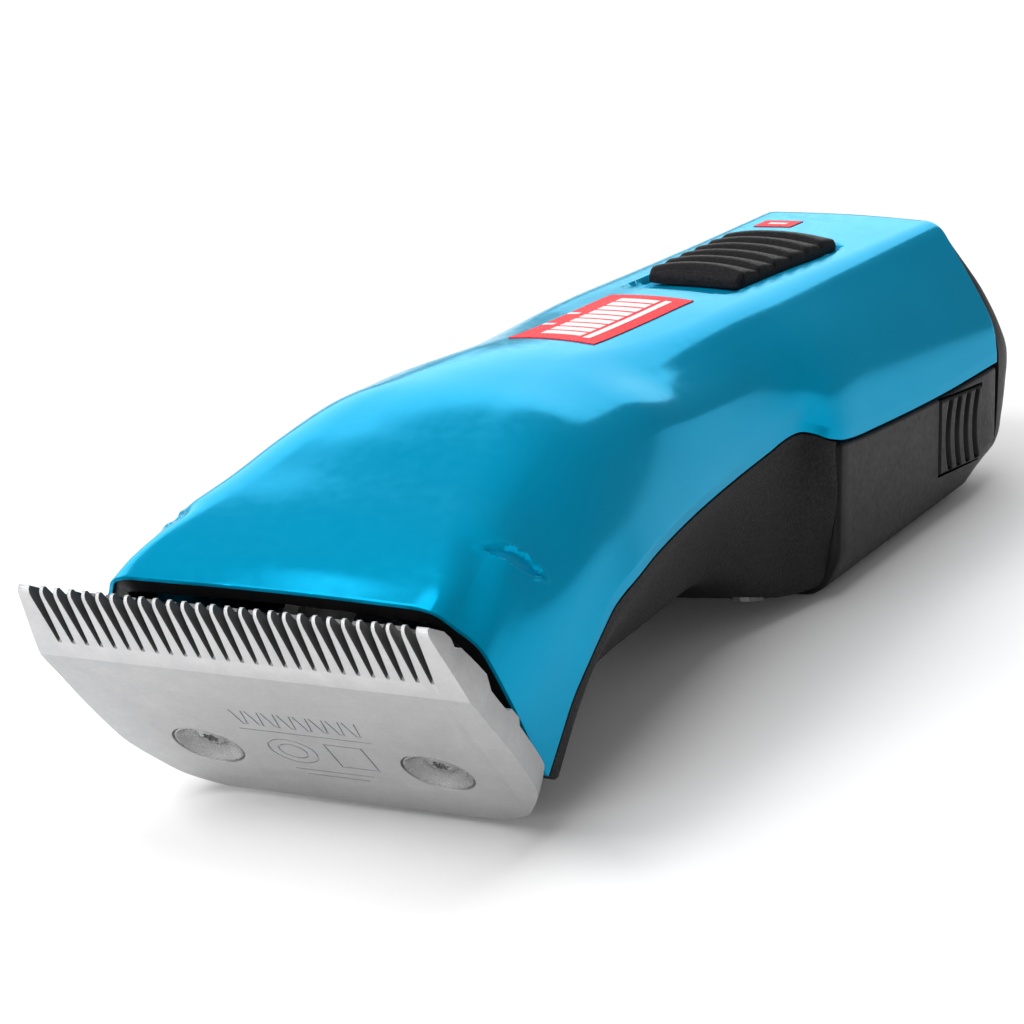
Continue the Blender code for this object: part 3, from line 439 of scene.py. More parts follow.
def dress(thing, matrix, body, material, replaces=()):
    """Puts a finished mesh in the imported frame, gives it its material and ties it to a body."""
    thing.data.transform(TO_ROW @ matrix)
    thing.data.update()
    if not thing.data.materials:
        thing.data.materials.append(material)
    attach(thing, body)
    if replaces:
        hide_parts(*replaces)


# ---- materials

class Finish:
    """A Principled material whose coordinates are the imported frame's millimetres."""

    def __init__(self, name, colour, roughness, metallic=0.0, **sockets):
        self.material = bpy.data.materials.new(name)
        self.material.use_nodes = True
        self.tree = self.material.node_tree
        self.shader = self.tree.nodes["Principled BSDF"]
        self.shader.inputs["Base Color"].default_value = (*colour, 1.0)
        self.shader.inputs["Roughness"].default_value = roughness
        self.shader.inputs["Metallic"].default_value = metallic
        for label, value in sockets.items():
            self.shader.inputs[label.replace("_", " ")].default_value = value
        self.spot = self.tree.nodes.new("ShaderNodeTexCoord").outputs["Object"]

    def link(self, output, socket):
        self.tree.links.new(output, socket)

    def scaled(self, scale):
        """Object coordinates in millimetres, stretched by the inverse of scale's three factors."""
        node = self.tree.nodes.new("ShaderNodeMapping")
        node.inputs["Scale"].default_value = [factor / MM for factor in scale]
        self.link(self.spot, node.inputs["Vector"])
        return node.outputs["Vector"]

    def noise(self, per_mm, detail=3.0, roughness=0.5, stretch=(1, 1, 1)):
        node = self.tree.nodes.new("ShaderNodeTexNoise")
        node.inputs["Scale"].default_value = per_mm
        node.inputs["Detail"].default_value = detail
        node.inputs["Roughness"].default_value = roughness
        self.link(self.scaled(stretch), node.inputs["Vector"])
        return node.outputs["Fac"]

    def cells(self, per_mm, stretch=(1, 1, 1)):
        node = self.tree.nodes.new("ShaderNodeTexVoronoi")
        node.inputs["Scale"].default_value = per_mm
        self.link(self.scaled(stretch), node.inputs["Vector"])
        return node.outputs["Distance"]

    def ramp(self, value, stops):
        """stops: (place, colour or grey) pairs."""
        node = self.tree.nodes.new("ShaderNodeValToRGB")
        ends = node.color_ramp.elements
        while len(ends) < len(stops):
            ends.new(0.5)
        for end, (place, colour) in zip(ends, stops):
            end.position = place
            grey = isinstance(colour, (int, float))
            end.color = (colour, colour, colour, 1.0) if grey else (*colour, 1.0)
        self.link(value, node.inputs["Fac"])
        return node.outputs["Color"]

    def bump(self, height, depth_mm):
        """Adds a bump on top of any earlier one."""
        node = self.tree.nodes.new("ShaderNodeBump")
        node.inputs["Distance"].default_value = depth_mm * MM
        self.link(height, node.inputs["Height"])
        socket = self.shader.inputs["Normal"]
        if socket.is_linked:
            self.link(socket.links[0].from_socket, node.inputs["Normal"])
        self.link(node.outputs["Normal"], socket)

    def colour(self, value, stops):
        self.link(self.ramp(value, stops), self.shader.inputs["Base Color"])

    def roughness(self, value, stops):
        self.link(self.ramp(value, stops), self.shader.inputs["Roughness"])


def blue_plastic():
    finish = Finish("blue_gloss", (0.0, 0.32, 0.56), 0.14, 0.42, IOR=1.14, Specular_IOR_Level=0.5,
                    Specular_Tint=(0.05, 0.85, 1.0, 1.0))
    finish.colour(finish.noise(0.035, 2), [(0.3, (0.0, 0.306, 0.538)), (0.7, (0.0, 0.336, 0.582))])
    finish.roughness(finish.noise(0.6, 5), [(0.35, 0.12), (0.75, 0.2)])
    finish.bump(finish.noise(0.25, 2), 0.007)
    finish.bump(finish.noise(9.0, 2), 0.0012)
    return finish.material


def grained_black(name, tone):
    """Spark-eroded moulded plastic."""
    finish = Finish(name, (0.012, 0.012, 0.013), 0.5, Specular_IOR_Level=0.1)
    low = tuple(tone * c for c in (0.004, 0.0038, 0.0045))
    high = tuple(tone * c for c in (0.019, 0.018, 0.0205))
    finish.colour(finish.noise(2.6, 4, 0.7), [(0.35, low), (0.7, high)])
    finish.roughness(finish.noise(3.4, 3), [(0.3, 0.42), (0.7, 0.62)])
    finish.bump(finish.noise(2.3, 4, 0.75), 0.07)
    finish.bump(finish.cells(3.2), 0.03)
    return finish.material


def satin_black():
    """Smooth moulded plastic with a faint sheen and handling marks."""
    finish = Finish("pack_black", (0.008, 0.0077, 0.0085), 0.4, Specular_IOR_Level=0.12)
    low = (0.006, 0.0056, 0.0065)
    high = (0.0105, 0.01, 0.011)
    finish.colour(finish.noise(0.25, 4), [(0.3, low), (0.75, high)])
    finish.roughness(finish.noise(1.3, 5, 0.65), [(0.3, 0.32), (0.8, 0.5)])
    finish.bump(finish.noise(5.0, 3, 0.6), 0.012)
    return finish.material


def ground_steel(name, grey, roughness, scratches=1.0):
    """Ground and tumbled steel: short fine scratches across the blade over a soft mottle."""
    finish = Finish(name, (grey, grey, grey * 1.01), roughness, 0.8)
    low = (grey * 0.95, grey * 0.95, grey * 0.965)
    high = (grey * 1.05, grey * 1.05, grey * 1.06)
    finish.colour(finish.noise(0.35, 5, 0.6), [(0.3, low), (0.7, high)])
    finish.roughness(finish.noise(1.7, 4, 0.6), [(0.3, roughness - 0.07), (0.7, roughness + 0.1)])
    finish.bump(finish.noise(1.0, 3, 0.6, (0.7, 9, 9)), 0.006 * scratches)
    finish.bump(finish.noise(6.0, 3, 0.6), 0.006 * scratches)
    return finish.material


def film(name, colour):
    """Printed film under a clear gloss."""
    finish = Finish(name, colour, 0.4, Specular_IOR_Level=0.01)
    low = tuple(0.9 * c for c in colour)
    finish.colour(finish.noise(0.5, 3), [(0.3, low), (0.7, colour)])
    finish.roughness(finish.noise(3.0, 3), [(0.3, 0.2), (0.7, 0.32)])
    finish.bump(finish.noise(1.5, 2), 0.004)
    return finish.material


def plain_metal(name, colour, roughness, grain=(1, 1, 1)):
    """Cast, drawn or plated metal with a fine grain."""
    finish = Finish(name, colour, roughness, 1.0)
    low = tuple(0.82 * c for c in colour)
    high = tuple(min(1.1 * c, 1.0) for c in colour)
    finish.colour(finish.noise(0.9, 4, 0.6), [(0.3, low), (0.75, high)])
    finish.roughness(finish.noise(2.0, 4), [(0.3, roughness - 0.08), (0.75, roughness + 0.12)])
    finish.bump(finish.noise(4.0, 3, 0.6, grain), 0.012)
    return finish.material


def plain_moulding(name, colour, roughness):
    """A moulded or painted part with a slightly uneven tone."""
    finish = Finish(name, colour, roughness)
    low = tuple(0.8 * c for c in colour)
    finish.colour(finish.noise(0.6, 4), [(0.3, low), (0.7, colour)])
    finish.roughness(finish.noise(2.0, 3), [(0.3, roughness - 0.08), (0.7, roughness + 0.1)])
    finish.bump(finish.noise(3.0, 3), 0.015)
    return finish.material


BLUE = blue_plastic()
NECK_BLACK = grained_black("black_grain", 1.0)
PACK_BLACK = satin_black()
GRIP_BLACK = grained_black("grip_black", 0.7)
STEEL = ground_steel("ground_steel", 0.42, 0.5)
# a lighter copy of the ground steel: painted highlight on the tooth bevel
BEVEL_HIGHLIGHT_STEEL = ground_steel("bevel_highlight_steel", 0.5, 0.5)
SCREW_STEEL = ground_steel("screw_steel_bright", 0.3, 0.27, 0.12)
# a very dark copy of the ground steel: painted shade for the cutter and the walls of the tooth gaps
PAINTED_SHADE_STEEL = ground_steel("painted_shade_steel", 0.12, 0.5)

SLOT_FINISHES = {
    "blue_cover": BLUE,
    "red_label": film("label_plate_red", (0.8, 0.01, 0.02)),
    "black_housing": PACK_BLACK,
    "black_grip": GRIP_BLACK,
    "ground_steel": STEEL,
    "screw_steel": plain_metal("blackened_steel", (0.13, 0.13, 0.14), 0.38),
    "spring_steel": plain_metal("spring_steel", (0.5, 0.5, 0.52), 0.28, (1, 8, 8)),
    "zinc_casting": plain_metal("zinc_casting", (0.52, 0.52, 0.54), 0.42),
    "brass": plain_metal("turned_brass", (0.75, 0.53, 0.2), 0.3),
    "copper": plain_metal("copper", (0.78, 0.36, 0.2), 0.34),
    "nylon": plain_moulding("natural_nylon", (0.72, 0.71, 0.66), 0.45),
    "board": plain_moulding("solder_mask", (0.015, 0.14, 0.06), 0.35),
    "cell": plain_moulding("cell_wrap", (0.05, 0.25, 0.13), 0.33),
    "magnet": plain_metal("ferrite", (0.07, 0.07, 0.075), 0.6),
}


def dress_cad_nodes():
    """Gives every node that stays the finish of its slot; the cutter gets a very dark steel instead, as
    painted shade.
    """
    for row in frame["record"]["subparts"]:
        mesh = frame["nodes"][row["node"]].data
        finish = SLOT_FINISHES[row["material_slot"]]
        if row["node"] == "cutter_blade":
            finish = PAINTED_SHADE_STEEL
        mesh.materials.clear()
        mesh.materials.append(finish)


# ---- blue cover

# Wall at the head opening, where the black band lies inside the cover
EDGE_WALL = 0.45

# Roundings of the cover's corners: (y, length cut on each side)
CENTRE_CUT = 9.0
EDGE_CUT = [(10.8, 3.0), (30, 4.0), (50, 5.0), (66, 4.0), (80, 3.0), (100, 2.6), (174, 2.0)]
FLANK_CUT = [(10.8, 4.0), (40, 7.0), (70, 7.0), (100, 6.0), (174, 5.0)]
SIDE_CUT = [(10.8, 6.0), (60, 8.0), (100, 8.0), (174, 6.0)]

# Shares of the front's lean that the flank and the side take up
FLANK_LEAN = 0.22
SIDE_LEAN = 0.474

# The slot for the slider's stem, measured from the slider's rear, and the track in the cover
STEM_FRONT = 16.0
STEM_REAR = 10.0
STEM_GAP = 0.6
SLOT_HALF = 2.6
TRACK_HALF = 7.3
TRACK_CORNER = 2.2
TRACK_DEPTH = 0.95

# The lens-shaped flat on the cheek, the valley that leads up to it and the crease behind the hump
LENS_FRONT = Vector((19.6, 23.7, 4.7))
LENS_REAR = Vector((22.4, 31.4, -0.4))
LENS_ACROSS = Vector((3.4, 2.0, -7.6))
LENS_HALF = 1.3
VALLEY_START = (23.0, 12.0, -2.6)
VALLEY_DEPTH = 0.8
VALLEY_WIDTH = 4.2
CREASE_DEPTH = 0.6
CREASE = [(3.0, 75.0, 0), (4.5, 73.0, 0), (9.0, 70.2, 0), (14.0, 69.3, 0), (18.6, 71.0, 0), (22.0, 76.0, 0)]


def cover_stations():
    """Places of the cover's ribs, closer together at the front and round the cheek's lens."""
    steps = [(FRONT, 0.35), (13.0, 0.55), (21.0, 0.35), (35.0, 0.9), (110.0, 0.7), (122.0, 1.1)]
    places, y = [], FRONT
    while y < REAR - 0.4:
        places.append(y)
        y += [step for start, step in steps if y >= start][-1]
    return places + [REAR]


def cover_corners(y):
    """The right half's corners from centre to side, their roundings, and the rib's place at the rim."""
    tilt = lean(y, FRONT, FRONT_LEAN)
    right = [on_curve(CENTRE, y), on_curve(EDGE, y), on_curve(FLANK, y + FLANK_LEAN * tilt),
             on_curve(SIDE, y + SIDE_LEAN * tilt)]
    cuts = [CENTRE_CUT, along(EDGE_CUT, y), along(FLANK_CUT, y), along(SIDE_CUT, y)]
    return right, cuts, y + tilt


def cover_rib(y):
    """One rib of the cover, left to right, with its corners rounded."""
    right, cuts, rim_y = cover_corners(y)
    right += [beside_rim(rim_y, LIP), on_curve(RIM, rim_y)]
    return whole_rib(right, cuts + [0.25, 0.0], 8, 14)


def bump_of(distance, width):
    """One at distance zero, falling smoothly to zero at width."""
    t = np.clip(1 - np.abs(distance) / width, 0, 1)
    return t * t * (3 - 2 * t)


def step_of(distance, width):
    """Zero before distance zero, rising smoothly to one at width."""
    t = np.clip(distance / width, 0, 1)
    return t * t * (3 - 2 * t)


def to_segment(x, y, z, start, end):
    """Place along a segment (0 to 1, unclipped) and distance from its line."""
    axis = np.array(end) - np.array(start)
    gap = np.stack([x - start[0], y - start[1], z - start[2]], axis=-1)
    t = gap @ axis / (axis @ axis)
    off = gap - t[..., None] * axis
    return t, np.linalg.norm(off, axis=-1)


def cover_relief(spots):
    """How far each point of the cover moves along its outward normal."""
    x, y, z = np.abs(spots[..., 0]), spots[..., 1], spots[..., 2]
    move = np.zeros_like(x)
    # the lens-shaped flat on each cheek, in a shallow valley that comes up from the front corner
    t, off = to_segment(x, y, z, LENS_FRONT, LENS_REAR)
    outward = (LENS_REAR - LENS_FRONT).cross(LENS_ACROSS).normalized()
    depth = np.stack([x, y, z], axis=-1) @ np.array(outward) - LENS_FRONT.dot(outward)
    off = np.sqrt(np.maximum(off**2 - depth**2, 0.0))
    half = LENS_HALF * np.clip(1 - (2 * t - 1)**2, 0, 1)
    inside = step_of(half - off, 0.35)
    outline = bump_of(off - half - 0.2, 0.45) * ((t > -0.05) & (t < 1.05))
    above_line = np.clip((z - LENS_FRONT.z - t * (LENS_REAR.z - LENS_FRONT.z)) / LENS_HALF, -1, 1)
    move -= (0.3 + 0.25 * above_line) * inside - 0.14 * outline
    t, off = to_segment(x, y, z, VALLEY_START, LENS_FRONT)
    fading = step_of(t + 0.2, 0.5) * (1 - step_of(t - 0.85, 0.45))
    move -= VALLEY_DEPTH * bump_of(off, VALLEY_WIDTH) * fading
    # the crease behind the hump, and the finger scoop behind it
    places = np.linspace(0, 26, 105)
    behind = y - np.interp(x, places, [on_curve(CREASE, place).x for place in places])
    beside_top = step_of(x - 5.5, 7.0) * step_of(z - 9.0, 5.0)
    move -= CREASE_DEPTH * beside_top * step_of(behind + 4.0, 14.0) * (1 - step_of(behind - 9.0, 38.0))
    # the track that the slider's nose runs in
    share = np.clip((y - SLIDER_FRONT + SLIDER_TRAVEL) / (SLIDER_REAR - SLIDER_FRONT), 0, 1)
    wide = TRACK_HALF + (SLIDER_HALF - SLIDER_NOSE_HALF) * share
    ends = np.minimum(y - SLIDER_FRONT + SLIDER_TRAVEL + 1.0, SLIDER_REAR + 0.6 - y)
    inside = np.minimum(wide - x, ends)
    beside = np.maximum(TRACK_CORNER - wide + x, 0)
    beyond = np.maximum(TRACK_CORNER - ends, 0)
    corner = TRACK_CORNER - np.hypot(beside, beyond)
    inside = np.where((wide - x < TRACK_CORNER) & (ends < TRACK_CORNER), corner, inside)
    move -= TRACK_DEPTH * step_of(inside, 0.45) * (z > 16.0)
    return move


def build_cover():
    """The cover: a relieved sheet with a thin wall at the head opening, a stem slot and screw posts."""
    stations = cover_stations()
    spots = np.array([[tuple(p) for p in cover_rib(y)] for y in stations])
    spots = spots + grid_normals(spots) * cover_relief(spots)[..., None]
    slot_front = SLIDER_REAR - STEM_FRONT - SLIDER_TRAVEL - STEM_GAP
    slot_rear = SLIDER_REAR - STEM_REAR + STEM_GAP

    def in_slot(middle):
        return abs(middle[0]) < SLOT_HALF and slot_front < middle[1] < slot_rear and middle[2] > 10

    thing = sheet_object("blue_cover", spots, (0, 0, 1), in_slot)
    columns = spots.shape[1]
    thin = sum(y < BAND_REAR + SEAM for y in stations) * columns
    wall_share = thing.vertex_groups.new(name="wall_share")
    wall_share.add(list(range(thin)), EDGE_WALL / WALL, "REPLACE")
    wall_share.add(list(range(thin, len(stations) * columns)), 1.0, "REPLACE")
    solidify(thing, WALL)
    thing.modifiers["wall"].vertex_group = "wall_share"
    bevel(thing, 0.22, 2, 55)
    settle(thing, 42)
    # screw posts under the cover
    posts = [rod(2.5, 19.9, (side * REAR_POST[0], REAR_POST[1], 3.45)) for side in (-1, 1)]
    posts += [rod(2.8, 13.0, (side * FRONT_POST[0], FRONT_POST[1], 4.2)) for side in (-1, 1)]
    whole = merged(bmesh_of(thing), *posts)
    whole.to_mesh(thing.data)
    whole.free()
    shade(thing.data, 42)
    dress(thing, HANDLE, "body", BLUE, ["top_shell"])


# ---- black housing

def lower_rib(y):
    """One rib of the lower housing, left rim over the keel to the right rim."""
    tilt = lean(y, LOWER_FRONT, 1.0)
    right = [on_curve(KEEL, y + 10.0 * tilt), on_curve(CHINE, y + 5.0 * tilt),
             on_curve(SKIRT, y + 2.9 * tilt), beside_rim(y, -SEAM - LIP), beside_rim(y, -SEAM)]
    return whole_rib(right, [8.0, 2.6, 1.6, 0.3, 0.0])


def build_lower():
    """The lower housing, open for the hinge, the latch and the four housing screws."""
    count = 100
    stations = [LOWER_FRONT + (LOWER_REAR - LOWER_FRONT) * k / count for k in range(count + 1)]
    spots = np.array([[tuple(p) for p in lower_rib(y)] for y in stations])
    thing = sheet_object("lower_cover", spots, (0, 0, -1))
    solidify(thing, WALL)
    bevel(thing, 0.3, 2, 55)
    settle(thing, 42)
    hinge_room = block((23.0, 16.0, 12.0), (0, 36.0, -22.0))
    latch_window = block((8.0, 5.0, 8.0), (0, 57.0, -17.0))
    cutters = [hinge_room, latch_window]
    for side in (-1, 1):
        cutters.append(rod(2.5, 8.0, (side * REAR_POST[0], REAR_POST[1], -19.9)))
        cutters.append(rod(2.6, 8.0, (side * FRONT_POST[0], FRONT_POST[1], -17.0)))
    combine(thing, bm_object("lower_cutter", merged(*cutters)), "DIFFERENCE")
    settle(thing, 42)
    dress(thing, HANDLE, "body", NECK_BLACK, ["lower_housing"])


LABEL_FRONT = 80.0
LABEL_REAR = 109.0
LABEL_HALF = 5.7


def cover_height(x, y):
    """Height of the finished cover's top at x, y."""
    rib = np.array([tuple(p) for p in cover_rib(y)])
    rib[:, 2] += cover_relief(rib[None])[0]
    top = rib[rib[:, 2] > rib[:, 2].max() - 6.0]
    return float(np.interp(x, top[:, 0], top[:, 2]))


def top_film(name, outline_rows, lift, depth, finish, replaces=()):
    """A thin film that follows the cover's top: rows of (x, y) points."""
    rows = np.array([[(x, y, cover_height(x, y) + lift + depth) for x, y in row] for row in outline_rows])
    thing = sheet_object(name, rows, (0, 0, 1))
    solidify(thing, depth)
    settle(thing, 40)
    dress(thing, HANDLE, "body", finish, replaces)


def film_rows(x0, x1, y0, y1, across, down):
    """Rows of (x, y) points over a rectangle."""
    return [[(x0 + (x1 - x0) * c / across, y0 + (y1 - y0) * r / down) for c in range(across + 1)]
            for r in range(down + 1)]


def build_label():
    """The red label with a plain row of white bars, and a small red tab near the rear edge."""
    red = film("label_red", (0.85, 0.006, 0.02))
    white = film("label_white", (0.85, 0.85, 0.85))
    low, lift, lift_on_tab, print_depth = 0.02, 0.125, 0.105, 0.03
    top_film("label_film", film_rows(-LABEL_HALF, LABEL_HALF, LABEL_FRONT, LABEL_REAR, 12, 30), low, 0.1,
             red, ["label_plate"])
    long_bar = film_rows(3.0, 3.9, LABEL_FRONT + 2.5, LABEL_REAR - 2.5, 2, 26)
    top_film("label_bar", long_bar, lift, print_depth, white)
    count = 9
    for k in range(count):
        y = LABEL_FRONT + 3.2 + k * (LABEL_REAR - LABEL_FRONT - 7.9) / (count - 1)
        top_film(f"label_bar_{k}", film_rows(-2.9, 2.4, y, y + 1.9, 6, 2), lift, print_depth, white)
    for k in range(2):
        y = LABEL_FRONT + 9.0 + 7.0 * k
        tick = film_rows(-LABEL_HALF + 0.1, -4.0, y, y + 0.9, 2, 2)
        top_film(f"label_tick_{k}", tick, lift, print_depth, white)
    top_film("rear_tab", film_rows(-9.2, -3.8, 162.0, 166.6, 6, 6), low, 0.08, red)
    top_film("rear_tab_bar", film_rows(-7.8, -5.2, 163.8, 164.8, 3, 2), lift_on_tab, print_depth, white)


# The band: its front, its share of the way down to the rim, its gap to the cover and its wall
BAND_FRONT = 11.1
BAND_REACH = 0.4
BAND_GAP = 0.1
BAND_WALL = 1.7


def build_bezel():
    """The black band inside the head opening."""
    rows = []
    for k in range(15):
        y = BAND_FRONT + (BAND_REAR - BAND_FRONT) * k / 14
        right, cuts, rim_y = cover_corners(y)
        low = right[-1].lerp(on_curve(RIM, rim_y), BAND_REACH)
        rows.append([tuple(p) for p in whole_rib(right + [low], cuts + [0.0])])
    spots = np.array(rows)
    spots = spots + grid_normals(spots) * (cover_relief(spots) - EDGE_WALL - BAND_GAP)[..., None]
    thing = sheet_object("head_bezel", spots, (0, 0, 1))
    solidify(thing, BAND_WALL)
    bevel(thing, 0.25, 2, 55)
    settle(thing, 42)
    dress(thing, HANDLE, "body", PACK_BLACK, ["head_frame"])


# ---- blade set

COMB_OUTLINE = [(TIP_S - 2, 24.75), (TIP_S, 24.8), (0, 26.35), (5, 26.4), (10, 26.5), (15, 26.4),
                (20.8, 26.0), (23.5, 25.1), (26.5, 23.5), (29, 21.7), (30.6, 18.8), (31.5, 15.5),
                (32.0, 10.0)]


def comb_outline():
    """The comb's plan, anticlockwise, with a smooth heel."""
    right = []
    places = [*np.arange(TIP_S - 2, 20.0, 2.0)] + [20 + 0.75 * k for k in range(17)]
    for s in places:
        spot = on_curve([(a, b, 0) for a, b in COMB_OUTLINE], min(s, 32.0))
        right.append((min(spot.x, COMB_HALF), spot.y))
    return right + [(0.0, 32.1)] + [(-x, s) for x, s in reversed(right)]


def gap_outline(x):
    """The plan of one gap between two teeth: a long V with a round end."""
    root, top, half, round_end = -2.6, TIP_S - 2.5, 0.8, 0.25
    points = [(x - half, top), (x + half, top), (x + round_end, root - 0.1)]
    for k in range(1, 6):
        angle = math.pi * k / 6
        points.append((x + round_end * math.cos(angle), root + round_end * math.sin(angle)))
    return points + [(x - round_end, root - 0.1)]


def engraving():
    """Fine engraved outlines between the screws: a row of teeth, two rings, a box and three lines."""
    line, depth, clear = 0.2, 0.14, -0.3
    cutters = []

    def stroke(x0, s0, x1, s1):
        along_line = Vector((x1 - x0, s1 - s0, 0)).normalized() * line / 2
        aside = Vector((-along_line.y, along_line.x, 0))
        start, end = Vector((x0, s0, 0)) - along_line, Vector((x1, s1, 0)) + along_line
        corners = [start + aside, start - aside, end - aside, end + aside]
        cutters.append(prism([(c.x, c.y) for c in corners], clear, depth))

    def path(points):
        for start, end in zip(points, points[1:]):
            stroke(*start, *end)

    def ring(x, s, radius, sides=24):
        inner, outer = radius - line / 2, radius + line / 2
        for k in range(sides):
            a, b = 2 * math.pi * k / sides, 2 * math.pi * (k + 1) / sides
            corners = [(inner, a), (outer, a), (outer, b), (inner, b)]
            sector = [(x + r * math.cos(t), s + r * math.sin(t)) for r, t in corners]
            cutters.append(prism(sector, clear, depth))

    for k in range(8):
        x = -7.0 + 2.0 * k
        path([(x, 9.4), (x + 0.5, 12.6), (x + 1.0, 12.6), (x + 1.5, 9.4)])
    stroke(-7.6, 14.0, 8.6, 14.0)
    ring(-3.0, 18.7, 2.9)
    ring(-3.0, 18.7, 1.7)
    path([(2.0, 15.9), (2.0, 21.5), (6.6, 21.5), (6.6, 15.9), (2.0, 15.9)])
    stroke(-4.6, 23.4, 5.0, 23.4)
    stroke(-3.6, 24.6, 4.0, 24.6)
    return merged(*cutters)


def build_comb():
    """The comb: a plate with raised walls, cut by the tooth gaps and the screws' dishes."""
    heel = [(31.2, 0.0), (31.75, 0.2), (32.1, 0.8), (32.0, 1.5), (31.3, 1.8)]
    inside = [(17.5, 1.8), (17.0, CUT_PLANE), (12.5, CUT_PLANE), (12.0, 1.8), (4.5, 1.8), (4.0, CUT_PLANE)]
    tip = [(TIP_S + 0.35, CUT_PLANE), (TIP_S + 0.05, 3.2), (TIP_S, 2.95), (TIP_S + 0.1, 2.65),
           (TIP_S + 0.45, 2.4), (TIP_S + 1.1, 2.2)]
    side_view = heel + inside + tip + [(0.0, 0.0)]
    wall_view = [(23.4, 0.0), (23.4, 1.6), (21.3, 3.0), (11.9, 3.2), (11.2, 3.85), (9.0, 3.8), (8.2, 3.15),
                 (3.5, 3.2), (1.4, 4.1), (-4.4, 4.15), (-5.4, 3.6), (-6.6, 4.15), (-8.0, 4.15),
                 (-10.3, 3.3)] + tip[1:] + [(0.0, 0.0)]
    tail = [(22.5, 0.0), (22.5, 1.3), (31.4, 1.3), (32.0, 0.8), (31.9, 0.2), (31.2, 0.0)]
    thing = bm_object("comb", prism(side_view, -RAIL_HALF - 0.4, RAIL_HALF + 0.4, "YZ"))
    for side in (-1, 1):
        low, high = sorted((side * RAIL_HALF, side * (COMB_HALF + 1.0)))
        combine(thing, bm_object("comb_wall", prism(wall_view, low, high, "YZ")), "UNION")
        combine(thing, bm_object("comb_tail", prism(tail, low, high, "YZ")), "UNION")
    combine(thing, bm_object("comb_plan", prism(comb_outline(), -3.0, 9.0)), "INTERSECT")
    gaps = [prism(gap_outline((i - (GAP_COUNT - 1) / 2) * TOOTH_PITCH), -3.0, 9.0) for i in range(GAP_COUNT)]
    combine(thing, bm_object("comb_gaps", merged(*gaps)), "DIFFERENCE")
    dishes = [turned([(0.0, -1.0), (4.3, -1.0), (4.3, 0.5), (1.8, 1.72), (1.8, 4.0), (0.0, 4.0)],
                     (side * SCREW_X, SCREW_S, 0), 56) for side in (-1, 1)]
    combine(thing, bm_object("comb_dishes", merged(*dishes)), "DIFFERENCE")
    bevel(thing, 0.16, 2, 20)
    settle(thing, 30)
    combine(thing, bm_object("comb_marks", engraving()), "DIFFERENCE", overlapping=True)
    settle(thing, 30)
    thing.data.materials.clear()
    thing.data.materials.append(STEEL)
    thing.data.materials.append(BEVEL_HIGHLIGHT_STEEL)
    thing.data.materials.append(PAINTED_SHADE_STEEL)
    for face in thing.data.polygons:
        # the walls of the tooth gaps get the very dark steel as painted shade
        gap_wall_shade = face.center.y < -2.2 and abs(face.normal.x) > 0.9 and abs(face.center.x) < RAIL_HALF + 0.6
        # the faces of the tooth bevel get the lighter steel as painted highlight
        highlit_bevel = face.center.y < -0.1 and face.normal.z < -0.5
        face.material_index = 2 if gap_wall_shade else 1 if highlit_bevel else 0
    dress(thing, BLADE, "blade", STEEL, ["comb_blade"])


def build_comb_screws():
    """Dished heads with a six-lobed drive."""
    profile = [(0.0, 6.2), (1.0, 6.2), (1.3, 5.9), (1.5, 5.5), (1.5, 1.75), (1.7, 1.6), (4.0, 0.48),
               (4.06, 0.36), (4.08, 0.2), (4.0, 0.1), (3.85, 0.1), (3.6, 0.32), (3.2, 0.72), (2.7, 1.05),
               (2.2, 1.18), (1.85, 1.15), (1.6, 1.0), (1.4, 0.9), (0.0, 0.9)]
    sides, lobes = 48, 6
    for name, side in SIDES:
        thing = bm_object(f"comb_screw_head_{name}", turned(profile, (side * SCREW_X, SCREW_S, 0), sides))
        star = []
        for angle in angles(sides):
            radius = 0.92 + 0.18 * math.cos(lobes * angle)
            star.append((side * SCREW_X + radius * math.cos(angle), SCREW_S + radius * math.sin(angle)))
        combine(thing, bm_object("drive", prism(star, -0.5, 1.5)), "DIFFERENCE")
        bevel(thing, 0.05, 1, 50)
        settle(thing, 35)
        dress(thing, BLADE, "blade", SCREW_STEEL, [f"comb_screw_{name}"])


# ---- slide switch

RIB_COUNT = 6
RIB_RISE = 0.26
SKIRT_LOW = -0.2
SKIRT_HIGH = 0.6
CORNER_CUT = 1.3


def quarter_round(share):
    """Height of a quarter circle, from zero at share 0 to one at share 1."""
    return math.sqrt(max(1 - (1 - share)**2, 0.0))


